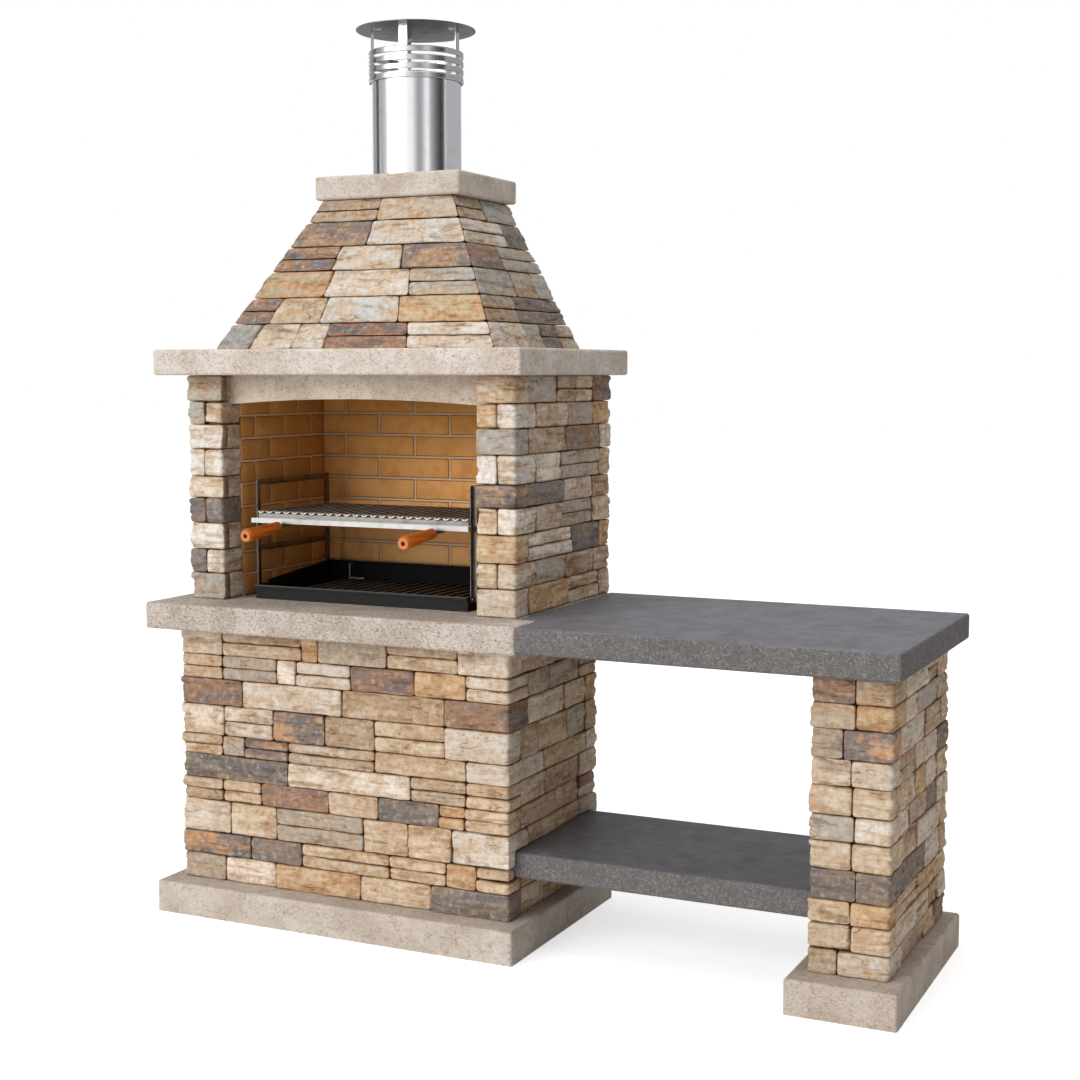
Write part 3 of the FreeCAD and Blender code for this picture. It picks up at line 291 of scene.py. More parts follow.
@dataclass(frozen=True)
class SplitStone:
    """Hand-split facing stone: layered, patched with a second tone, with painted shade in its hollows and
    along its worn edges.
    """

    name: str = "facing_stone"
    shade: Colour = paint(202, 185, 165)
    pale: Colour = paint(245, 236, 224)
    # dark brown for the cracks, and for the painted shade in hollows and along worn edges
    crack_and_painted_shade: Colour = paint(126, 102, 82)
    lot_shift: Point = (31.0, 17.0, 23.0)
    layer_scale: Point = (7.0, 7.0, 58.0)
    line_scale: Point = (6.0, 6.0, 30.0)
    crack_width: float = 0.010
    bump_depth: float = 0.0085

    def make(self) -> Material:
        """Build the material.

        Returns:
            The finished material.
        """
        sheet = FinishSheet(self.name)
        tone, patch = sheet.attribute("tone", "Color"), sheet.attribute("patch", "Color")
        share = sheet.attribute("patch", "Alpha")
        lot, relief = sheet.attribute("lot", "Fac"), sheet.attribute("relief", "Fac")
        place = sheet.vector("ADD", sheet.place, sheet.spread(lot, self.lot_shift))
        bedding = sheet.bent(place, 14.0, 0.025)
        layers = sheet.cloud(1.0, 6.0, 0.60, sheet.stretched(bedding, self.layer_scale))
        patches = sheet.cloud(13.0, 6.0, 0.64, sheet.bent(place, 12.0, 0.07))
        mottle = sheet.cloud(62.0, 6.0, 0.70, place)
        grit = sheet.cloud(290.0, 3.0, 0.65, place)
        lines = sheet.cloud(1.0, 2.0, 0.5, sheet.stretched(sheet.bent(place, 14.0, 0.03), self.line_scale))
        crack = (1.0 - sheet.band(abs(lines - 0.5), 0.0, self.crack_width)) * sheet.band(patches, 0.50, 0.60)
        colour = sheet.coats(
            tone,
            (sheet.band(patches, 0.46, 0.60) * share, patch),
            ((1.0 - sheet.band(relief, 0.28, 0.58)) * share, patch),
            (sheet.band(layers, 0.52, 0.62) * share, patch),
            ((1.0 - sheet.band(mottle, 0.38, 0.52)) * 0.48, self.shade, "MULTIPLY"),
            ((1.0 - sheet.band(layers, 0.34, 0.46)) * 0.70, self.shade, "MULTIPLY"),
            (sheet.band(mottle, 0.53, 0.70) * 0.30, self.pale),
            (sheet.band(grit, 0.54, 0.70) * 0.30, self.shade, "MULTIPLY"),
            (crack * 0.45, self.crack_and_painted_shade, "MULTIPLY"),
            # painted shade: darker where the relief is low, in the hollows of the face and on its worn edges
            ((1.0 - sheet.band(relief, 0.12, 0.34)) * 0.45, self.crack_and_painted_shade, "MULTIPLY"))
        height = layers * 0.85 + mottle * 0.34 + grit * 0.14 - crack * 0.30
        return sheet.surface(Base_Color=colour, Roughness=0.76 + grit * 0.2, Specular_IOR_Level=0.3,
                             Normal=sheet.bump(height, 1.0, self.bump_depth))


@dataclass(frozen=True)
class CastStone:
    """Pale precast stone: soft clouding, hair-fine veins, brown flecks and small pits."""

    name: str
    body: Colour
    warm: Colour
    fleck_share: float
    pit_share: float = 0.35
    vein_share: float = 0.75
    fleck: Colour = paint(124, 110, 98)
    vein: Colour = paint(140, 121, 103)
    pale: Colour = paint(232, 224, 214)
    pit: Colour = paint(102, 90, 80)
    flatten: Point = (1.0, 1.0, 1.7)
    bump_depth: float = 0.002

    def make(self) -> Material:
        """Build the material.

        Returns:
            The finished material.
        """
        sheet = FinishSheet(self.name)
        flat = sheet.stretched(sheet.place, self.flatten)
        clouds = sheet.cloud(8.0, 6.0, 0.65)
        stains = sheet.cloud(40.0, 7.0, 0.72)
        flecks = sheet.cloud(125.0, 4.0, 0.70, flat)
        pits = sheet.cells(80.0, sheet.bent(flat, 60.0, 0.012))
        pitted = (1.0 - sheet.band(pits, 0.10, 0.24)) * sheet.band(stains, 0.44, 0.58)
        threads = sheet.cloud(19.0, 5.0, 0.62, sheet.bent(sheet.place, 30.0, 0.03))
        hair = (1.0 - sheet.band(abs(threads - 0.5), 0.0, 0.016)) * sheet.band(stains, 0.40, 0.56)
        colour = sheet.coats(
            self.body,
            (sheet.band(clouds, 0.36, 0.66), self.warm),
            (sheet.band(stains, 0.50, 0.68) * 0.5, self.warm),
            (hair * self.vein_share, self.vein),
            (sheet.band(flecks, 0.53, 0.66) * self.fleck_share, self.fleck),
            (sheet.band(1.0 - flecks, 0.55, 0.70) * self.fleck_share * 0.7, self.pale),
            (pitted * self.pit_share, self.pit))
        height = stains * 0.25 - flecks * 0.35 - pitted * 0.8
        return sheet.surface(Base_Color=colour, Roughness=0.68 + flecks * 0.2, Specular_IOR_Level=0.35,
                             Normal=sheet.bump(height, 0.45, self.bump_depth))


@dataclass(frozen=True)
class DarkSlab:
    """Dark speckled slab: satin on its flat top, rough and full of pale flakes on its edges."""

    name: str = "dark_slab"
    body: Colour = paint(120, 119, 125)
    deep: Colour = paint(90, 89, 94)
    flake: Colour = paint(168, 159, 151)
    edge: Colour = paint(96, 92, 89)
    streak_scale: Point = (24.0, 130.0, 130.0)
    bump_depth: float = 0.002

    def make(self) -> Material:
        """Build the material.

        Returns:
            The finished material.
        """
        sheet = FinishSheet(self.name)
        upright = sheet.axis(sheet.node("ShaderNodeNewGeometry", out="Normal"), "Z")
        side = 1.0 - sheet.band(upright, 0.55, 0.95)
        clouds = sheet.cloud(14.0, 6.0, 0.66)
        streaks = sheet.cloud(1.0, 5.0, 0.66, sheet.stretched(sheet.place, self.streak_scale))
        swirl = sheet.cloud(42.0, 3.0, 0.6, swirl=2.6)
        flakes = (1.0 - sheet.band(abs(swirl - 0.5), 0.008, 0.050)) * sheet.band(clouds, 0.30, 0.46)
        grain = sheet.cloud(150.0, 4.0, 0.65, swirl=1.0)
        colour = sheet.coats(
            self.deep,
            (0.25 + sheet.band(clouds, 0.34, 0.66) * 0.75, self.body),
            (sheet.band(streaks, 0.46, 0.62) * 0.6, self.deep),
            (side * 0.80, self.edge),
            (flakes * (0.12 + side * 0.40), self.flake),
            (sheet.band(grain, 0.50, 0.62) * (0.20 + side * 0.50), self.deep))
        height = (grain * 0.4 + flakes * 0.3 + clouds * 0.3) * (0.2 + side)
        return sheet.surface(Base_Color=colour, Roughness=0.44 + grain * 0.16 + side * 0.30,
                             Normal=sheet.bump(height, 0.5, self.bump_depth), Specular_IOR_Level=0.28)


@dataclass(frozen=True)
class Firebrick:
    """Fired refractory brick: warm orange, mottled, each brick a little different."""

    name: str = "firebrick"
    pale: Colour = paint(246, 200, 136)
    lot_shift: Point = (13.0, 29.0, 7.0)
    bump_depth: float = 0.002

    def make(self) -> Material:
        """Build the material.

        Returns:
            The finished material.
        """
        sheet = FinishSheet(self.name)
        tone, patch = sheet.attribute("tone", "Color"), sheet.attribute("patch", "Color")
        share, lot = sheet.attribute("patch", "Alpha"), sheet.attribute("lot", "Fac")
        place = sheet.vector("ADD", sheet.place, sheet.spread(lot, self.lot_shift))
        clouds = sheet.cloud(16.0, 6.0, 0.64, place)
        grit = sheet.cloud(300.0, 3.0, 0.6, place)
        colour = sheet.coats(
            tone,
            (sheet.band(clouds, 0.46, 0.66) * share, patch),
            (sheet.band(1.0 - clouds, 0.54, 0.72) * 0.35, self.pale),
            (sheet.band(grit, 0.56, 0.72) * 0.30, patch))
        return sheet.surface(Base_Color=colour, Roughness=0.80 + grit * 0.15, Specular_IOR_Level=0.25,
                             Normal=sheet.bump(grit * 0.4 + clouds * 0.6, 0.4, self.bump_depth))


@dataclass(frozen=True)
class Mortar:
    """Sanded mortar or rough concrete."""

    name: str
    body: Colour
    sand: Colour
    bump_depth: float = 0.0015

    def make(self) -> Material:
        """Build the material.

        Returns:
            The finished material.
        """
        sheet = FinishSheet(self.name)
        grains = sheet.cloud(420.0, 3.0, 0.7)
        clouds = sheet.cloud(30.0, 4.0, 0.6)
        sandy = sheet.band(grains, 0.40, 0.66) * 0.6 + sheet.band(clouds, 0.4, 0.7) * 0.3
        return sheet.surface(Base_Color=sheet.mix(sandy, self.body, self.sand), Specular_IOR_Level=0.2,
                             Roughness=0.86 + grains * 0.12, Normal=sheet.bump(grains, 0.5, self.bump_depth))


@dataclass(frozen=True)
class Steel:
    """Bare, darkened or enamelled steel with drawn streaks and a patchy skin."""

    name: str
    body: Colour
    patch: Colour
    streaks: Point
    rough: float
    metal: float = 1.0
    patch_share: float = 0.5
    worn_rough: float = 0.18
    bump_depth: float = 0.0006

    def make(self) -> Material:
        """Build the material.

        Returns:
            The finished material.
        """
        sheet = FinishSheet(self.name)
        drawn = sheet.cloud(1.0, 3.0, 0.5, sheet.stretched(sheet.place, self.streaks))
        worn = sheet.band(sheet.cloud(26.0, 5.0, 0.65), 0.46, 0.70) * self.patch_share
        return sheet.surface(Base_Color=sheet.mix(worn, self.body, self.patch), Metallic=self.metal,
                             Roughness=self.rough + drawn * 0.08 + worn * self.worn_rough,
                             Normal=sheet.bump(drawn, 0.10, self.bump_depth))


@dataclass(frozen=True)
class GrateChannelSteel:
    """Grate channels: dark with charred fat and painted shade, a line along each lip both scraped bright and
    painted as a highlight, and painted light on their front ends.
    """

    name: str = "channel_steel"
    # the pale colour is scraped steel with painted highlight and painted light; the dark one is charred fat
    # with painted shade
    bright: Colour = paint(236, 233, 228)
    burnt_and_shaded: Colour = paint(30, 22, 15)
    lit_front_length: float = 0.045
    channels: int = 24
    width: float = 0.022
    lip: float = 0.0042
    smear_scale: Point = (40.0, 7.0, 40.0)
    bump_depth: float = 0.0008

    def make(self) -> Material:
        """Build the material.

        Returns:
            The finished material.
        """
        low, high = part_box("grate_channels")
        tall = high.z - low.z
        pitch = (high.x - low.x - self.width) / (self.channels - 1)
        sheet = FinishSheet(self.name)
        spot, depth, level = (sheet.axis(sheet.place, letter) for letter in "XYZ")
        smears = sheet.cloud(1.0, 4.0, 0.6, sheet.stretched(sheet.place, self.smear_scale))
        across = sheet.node("ShaderNodeMath", {"operation": "MODULO"}, {0: spot - low.x, 1: pitch})
        # painted highlight: a line along each lip, partly steel scraped bright
        line = sheet.band(across, 0.1 * self.lip, 0.4 * self.lip)
        line = line * (1.0 - sheet.band(across, self.lip, 1.5 * self.lip))
        top = sheet.band(level, low.z + 0.75 * tall, low.z + 0.90 * tall)
        shell = sheet.band(level, low.z + 0.15 * tall, low.z + 0.32 * tall)
        # painted light: the front ends of the channels, lit where the mantel's shadow ends
        end = (1.0 - sheet.band(depth, low.y + 0.5 * self.lit_front_length, low.y + self.lit_front_length)) * shell
        # share of the pale colour: the scraped lips with their painted highlight, and the painted light on
        # the front ends
        clean = sheet.band(line * top * (0.35 + smears * 0.9) + end, 0.25, 0.95)
        return sheet.surface(Base_Color=sheet.mix(clean, self.burnt_and_shaded, self.bright), Metallic=clean * 0.3,
                             Roughness=0.70 - clean * 0.36 + smears * 0.1, Specular_IOR_Level=0.10,
                             Normal=sheet.bump(smears, 0.15, self.bump_depth))


@dataclass(frozen=True)
class TrayPaint:
    """Black heat-proof paint on the tray: dark grey on its front with a painted highlight along its lip, dead
    black behind it, sooty and with painted shade.
    """

    name: str = "tray_black"
    enamel: Colour = paint(18, 18, 18)
    dust: Colour = paint(29, 28, 27)
    # near black for the sooty inside of the tray and the painted shade there
    soot_and_shade: Colour = paint(2, 2, 2)
    # light grey of the painted highlight along the front lip
    painted_lip_highlight: Colour = paint(92, 90, 87)
    front: float = 0.012
    lip: float = 0.040
    # height of the band at the top of the lip that takes the painted highlight
    worn: float = 0.003
    bump_depth: float = 0.0006

    def make(self) -> Material:
        """Build the material.

        Returns:
            The finished material.
        """
        low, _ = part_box("charcoal_tray")
        sheet = FinishSheet(self.name)
        depth, level = (sheet.axis(sheet.place, letter) for letter in "YZ")
        smears = sheet.cloud(24.0, 5.0, 0.65)
        grains = sheet.cloud(420.0, 2.0, 0.6)
        # sooty with painted shade: dead black behind the front face
        sooted_and_shaded = sheet.band(depth, low.y + 0.7 * self.front, low.y + self.front)
        # painted highlight: a light line along the top of the front lip
        edge = sheet.band(level, low.z + self.lip - self.worn, low.z + self.lip) * (0.5 + smears)
        colour = sheet.coats(
            self.enamel,
            (sheet.band(smears, 0.48, 0.72) * 0.7, self.dust),
            (edge * (1.0 - sooted_and_shaded), self.painted_lip_highlight),
            (sooted_and_shaded * (0.80 + smears * 0.25), self.soot_and_shade))
        return sheet.surface(Base_Color=colour, Roughness=0.40 + sooted_and_shaded * 0.30 + grains * 0.12,
                             Normal=sheet.bump(grains, 0.12, self.bump_depth), Specular_IOR_Level=0.18)


@dataclass(frozen=True)
class TurnedWood:
    """Varnished turned handle wood with grain along the handle."""

    name: str = "grip_wood"
    early: Colour = paint(216, 112, 12)
    late: Colour = paint(180, 82, 6)
    end_grain: Colour = paint(202, 122, 58)
    grain_scale: Point = (120.0, 9.0, 120.0)
    pore_scale: Point = (900.0, 40.0, 900.0)
    bump_depth: float = 0.0008

    def make(self) -> Material:
        """Build the material.

        Returns:
            The finished material.
        """
        sheet = FinishSheet(self.name)
        grain = sheet.cloud(1.0, 5.0, 0.6, sheet.stretched(sheet.place, self.grain_scale))
        pores = sheet.cloud(1.0, 2.0, 0.5, sheet.stretched(sheet.place, self.pore_scale))
        backward = sheet.axis(sheet.node("ShaderNodeNewGeometry", out="Normal"), "Y")
        colour = sheet.coats(
            self.early,
            (sheet.band(grain, 0.36, 0.66), self.late),
            (sheet.band(pores, 0.56, 0.72) * 0.4, self.late),
            (sheet.band(-1.0 * backward, 0.55, 0.90) * 0.85, self.end_grain))
        return sheet.surface(Base_Color=colour, Roughness=0.36 + pores * 0.12, Coat_Weight=0.25,
                             Coat_Roughness=0.18, Normal=sheet.bump(pores + grain, 0.15, self.bump_depth))


@dataclass(frozen=True)
class StoneCut:
    """How finely a kind of stone is cut and how rough it is, in metres."""

    grid: float
    edge: float
    relief: float
    wander: float
    grow: float


@dataclass
class StraightPlace:
    """Room of a straight stone: its back and its face, corner by corner from the lower left."""

    back: np.ndarray
    face: np.ndarray

    @property
    def length(self) -> float:
        """Mean length of the stone."""
        low, high = self.face[1] - self.face[0], self.face[2] - self.face[3]
        return float(np.linalg.norm(low) + np.linalg.norm(high)) / 2

    @property
    def height(self) -> float:
        """Height of the stone on its face."""
        return float(np.linalg.norm((self.face[3] + self.face[2] - self.face[0] - self.face[1]) / 2))

    @property
    def thick(self) -> float:
        """Thickness of the stone."""
        return float(np.linalg.norm(self.face.mean(0) - self.back.mean(0)))

    @property
    def centre(self) -> np.ndarray:
        """Middle of the face."""
        return self.face.mean(0)

    def columns(self, grid: float, edge: float) -> np.ndarray:
        """Places along the stone where its face has points."""
        return np.linspace(edge, self.length - edge, max(3, round(self.length / grid)) + 1)

    def at(self, along: np.ndarray, up: np.ndarray, depth: np.ndarray) -> np.ndarray:
        """Points of the stone.

        Args:
            along: Distances along the face from its left end.
            up: Heights on the face.
            depth: Depths below the face.

        Returns:
            One point for each.
        """
        across, rise = (along / self.length)[:, None], (up / self.height)[:, None]
        shares = ((1 - across) * (1 - rise), across * (1 - rise), across * rise, (1 - across) * rise)
        face = sum(share * corner for share, corner in zip(shares, self.face))
        back = sum(share * corner for share, corner in zip(shares, self.back))
        return face + (back - face) * (depth / self.thick)[:, None]


@dataclass
class CornerPlace:
    """Room of a corner stone: its outer corner and the arms that run from it."""

    corner: np.ndarray
    first: np.ndarray
    second: np.ndarray
    arms: tuple[float, float]
    low: float
    high: float
    thick: float
    nose: float = 0.008
    nose_drop: float = 0.3

    @property
    def length(self) -> float:
        """Length of both arms."""
        return self.arms[0] + self.arms[1]

    @property
    def height(self) -> float:
        """Height of the stone."""
        return self.high - self.low

    @property
    def centre(self) -> np.ndarray:
        """Middle of the first arm's face."""
        flat = self.corner + self.first * self.arms[0] / 2
        return np.array([flat[0], flat[1], (self.low + self.high) / 2])

    def columns(self, grid: float, edge: float) -> np.ndarray:
        """Places along both arms where the face has points, one of them at the corner.

        Args:
            grid: Wanted distance between them.
            edge: Distance of the first and the last from the ends.

        Returns:
            Distances from the left end.
        """
        counts = [max(2, round(arm / grid)) for arm in self.arms]
        left = np.linspace(edge, self.arms[0], counts[0] + 1)
        right = np.linspace(self.arms[0], self.length - edge, counts[1] + 1)
        return np.concatenate([left, right[1:]])

    def at(self, along: np.ndarray, up: np.ndarray, depth: np.ndarray) -> np.ndarray:
        """Points of the stone.

        Args:
            along: Distances along both arms from the left end.
            up: Heights on the face.
            depth: Depths below the face.

        Returns:
            One point for each.
        """
        reach = along - self.arms[0]
        gap = np.abs(reach)
        depth = depth + self.nose_drop * self.nose * np.clip(1 - gap / self.nose, 0, 1) ** 2
        arm = np.where(reach < 0, self.arms[0], self.arms[1])
        run = depth + gap * (arm - depth) / arm
        on_first = (reach < 0)[:, None]
        flat = np.where(on_first, run[:, None] * self.first + depth[:, None] * self.second,
                        run[:, None] * self.second + depth[:, None] * self.first)
        return np.column_stack([self.corner + flat, self.low + up])


Place = StraightPlace | CornerPlace


class Quarry:
    """Finds the stones of a CAD node and the room that each of them has."""

    plain_corners = 8
    bevelled_corners = 12
    angled_corners = 18

    def __init__(self, node: str, way: Point | None = None) -> None:
        """Read a node's solids.

        Args:
            node: Name of the CAD node.
            way: Direction that plain bricks face, where they have no bevel to show it.
        """
        self.node = node
        self.way = way
        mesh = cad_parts[node].data
        flat = np.empty(len(mesh.vertices) * 3)
        mesh.vertices.foreach_get("co", flat)
        keys = np.round(flat.reshape(-1, 3) * round(1 / WELD)).astype(np.int64)
        keys, index = np.unique(keys, axis=0, return_inverse=True)
        self.points = keys * WELD
        self.loops = [tuple(int(index.ravel()[i]) for i in polygon.vertices) for polygon in mesh.polygons]

    def islands(self) -> list[tuple[np.ndarray, Faces]]:
        """Split the node into its solids.

        Returns:
            Point numbers and faces of each solid.
        """
        lowest = np.arange(len(self.points))
        before = np.empty(0)
        while not np.array_equal(lowest, before):
            before = lowest.copy()
            for loop in self.loops:
                lowest[list(loop)] = lowest[list(loop)].min()
        return [(np.flatnonzero(lowest == key), [loop for loop in self.loops if lowest[loop[0]] == key])
                for key in np.unique(lowest)]

    def place(self, spots: np.ndarray, loops: Faces) -> Place | None:
        """Read the room of one stone.

        Args:
            spots: Point numbers of the stone.
            loops: Its faces.

        Returns:
            The stone's place, or None for a stone that was cut to fit.
        """
        points = self.points[spots]
        if len(points) == self.plain_corners and self.way:
            return self._straight(points, np.array(self.way), 2)
        if len(points) == self.bevelled_corners:
            for loop in loops:
                one, two, three = self.points[list(loop[:3])]
                across = np.cross(two - one, three - one)
                way = across / np.linalg.norm(across)
                levels = np.sort(points @ way)
                if all(np.ptp(ring) < LEVEL for ring in levels.reshape(3, 4)):
                    inward = levels[8] - levels[4] > levels[4] - levels[0]
                    return self._straight(points, -way if inward else way, 3)
        if len(points) == self.angled_corners:
            return self._corner(points)
        return None

    @staticmethod
    def _straight(points: np.ndarray, way: np.ndarray, rows: int) -> StraightPlace:
        """Order a straight stone's corners as seen from outside.

        Args:
            points: Corners of the stone.
            way: Direction that it faces.
            rows: Rings of four corners from back to face, three where the face has a bevel.

        Returns:
            The room of the stone.
        """
        order = np.argsort(points @ way)
        rise = np.array([0.0, 0.0, 1.0]) - way * way[2]
        rise /= np.linalg.norm(rise)
        across = np.cross(rise, way)

        def ring(four: np.ndarray) -> np.ndarray:
            """Order four corners from the lower left, anticlockwise.

            Args:
                four: The corners.

            Returns:
                The same corners in order.
            """
            by_rise = four[np.argsort(four @ rise)]
            low = by_rise[:2][np.argsort(by_rise[:2] @ across)]
            high = by_rise[2:][np.argsort(by_rise[2:] @ across)]
            return np.array([low[0], low[1], high[1], high[0]])

        back = ring(points[order[:4]])
        rim = ring(points[order[4:8]])
        if rows == 2:
            return StraightPlace(back, rim)
        full = float(np.ptp(points @ way))
        share = full / float((rim[0] - back[0]) @ way)
        return StraightPlace(back, back + (rim - back) * share)

    @staticmethod
    def _corner(points: np.ndarray) -> CornerPlace:
        """Find a corner stone's outer corner and its arms.

        Args:
            points: Corners of the stone.

        Returns:
            The room of the stone.
        """
        low, high = points.min(0), points.max(0)
        ends = [np.array([x, y]) for x in (low[0], high[0]) for y in (low[1], high[1])]
        empty = max(ends, key=lambda end: np.linalg.norm(points[:, :2] - end, axis=1).min())
        corner = low[:2] + high[:2] - empty
        run = empty - corner
        along_x, along_y = np.array([np.sign(run[0]), 0.0]), np.array([0.0, np.sign(run[1])])
        steps = np.unique(np.round(np.abs(points[:, 0] - corner[0]), 4))
        turned = along_x[0] * along_y[1] > 0
        first, second = (along_y, along_x) if turned else (along_x, along_y)
        arms = (abs(run @ first), abs(run @ second))
        return CornerPlace(corner, first, second, arms, float(low[2]), float(high[2]), float(steps[2]))


@dataclass
class StoneMesh:
    """Points, faces and values of the stones that make up one piece."""

    points: list[np.ndarray] = field(default_factory=list)
    faces: Faces = field(default_factory=list)
    values: dict[str, list[np.ndarray]] = field(default_factory=dict)
    count: int = 0

    def add(self, points: np.ndarray, faces: Faces, relief: np.ndarray, tone: Colour, patch: Colour,
            lot: float) -> None:
        """Add one stone.

        Args:
            points: Its points.
            faces: Its faces, numbered from its own first point.
            relief: Height of each point of the face, 0 in a hollow and 1 on a crest; on the rim it falls
                towards the edge, where the material paints shade.
            tone: Its colour.
            patch: Colour of its patches, with their strength as its alpha.
            lot: Its own random number.
        """
        size = len(points)
        self.points.append(points)
        self.faces.extend(tuple(self.count + spot for spot in face) for face in faces)
        own = {"tone": np.tile(tone, (size, 1)), "patch": np.tile(patch, (size, 1)),
               "lot": np.full(size, lot), "relief": relief}
        for label, values in own.items():
            self.values.setdefault(label, []).append(values)
        self.count += size

    def piece(self, name: str) -> bpy.types.Object:
        """Make the mesh object.

        Args:
            name: Name of the piece.

        Returns:
            The object, in the scene.
        """
        mesh = bpy.data.meshes.new(name)
        mesh.from_pydata(np.concatenate(self.points).tolist(), [], self.faces)
        for label, parts in self.values.items():
            values = np.concatenate(parts)
            kind, key = ("FLOAT_COLOR", "color") if values.ndim > 1 else ("FLOAT", "value")
            mesh.attributes.new(label, kind, "POINT").data.foreach_set(key, values.ravel())
        mesh.polygons.foreach_set("use_smooth", [True] * len(mesh.polygons))
        mesh.update()
        return put(name, mesh)


LAYER = 0.026  # height of a layer of the split stone, in metres
LEDGE_RISE = 0.28  # share of a layer in which its ledge steps out
CRACK_REACH = 0.16  # share of a layer that a crack at its edge takes
BROAD, LEDGE, RIDGE, FINE, CRACK = 0.34, 0.46, 0.18, 0.24, 0.55  # shares of the forms in a split face


def wave(*spot: float) -> float:
    """Smooth random value at a point."""
    return noise.noise(Vector(spot))


def split_relief(along: float, up: float, lot: float) -> float:
    """Height of a split face at one point.

    Args:
        along: Distance along the face.
        up: Height on the face.
        lot: The stone's own random number.

    Returns:
        About -1 in a crack to 1 on a crest.
    """
    base = lot * 61.0
    broad = noise.fractal(Vector((along * 7.0 + base, up * 10.0, base)), 0.9, 2.0, 3)
    strata = up / LAYER + base + 0.9 * wave(along * 6.0, up * 12.0, base + 7.0)
    layer = math.floor(strata)
    rise = strata - layer
    below, here = (math.tanh(3.0 * wave(along * 5.0, number * 3.7, base)) for number in (layer - 1, layer))
    ledge = below + (here - below) * min(1.0, rise / LEDGE_RISE)
    ridge = 1.0 - 2.0 * abs(wave(along * 14.0, up * 46.0 + broad * 2.4, base + 29.0))
    fine = noise.fractal(Vector((along * 46.0, up * 66.0, base + 3.0)), 0.7, 2.1, 2)
    opened = 0.5 + 1.5 * wave(along * 9.0, layer * 5.3, base + 19.0)
    crack = max(0.0, 1.0 - min(rise, 1.0 - rise) / CRACK_REACH) * min(1.0, max(0.0, opened))
    return BROAD * broad + LEDGE * ledge + RIDGE * ridge + FINE * fine - CRACK * crack


def edge_wander(spots: np.ndarray, side: int, lot: float, most: float) -> np.ndarray:
    """How far an edge of a stone runs inside its line.

    Args:
        spots: Distances along the edge.
        side: Number of the edge.
        lot: The stone's own random number.
        most: Largest inset.

    Returns:
        One inset for each distance.
    """
    waves = np.array([wave(spot * 21.0, side * 7.3, lot * 53.0) for spot in spots])
    return most * np.clip(0.5 + 0.8 * waves, 0, 1)


def fade(distance: np.ndarray, reach: float) -> np.ndarray:
    """1 at an edge, falling to 0 at a distance from it."""
    return np.clip(1.0 - distance / reach, 0, 1)


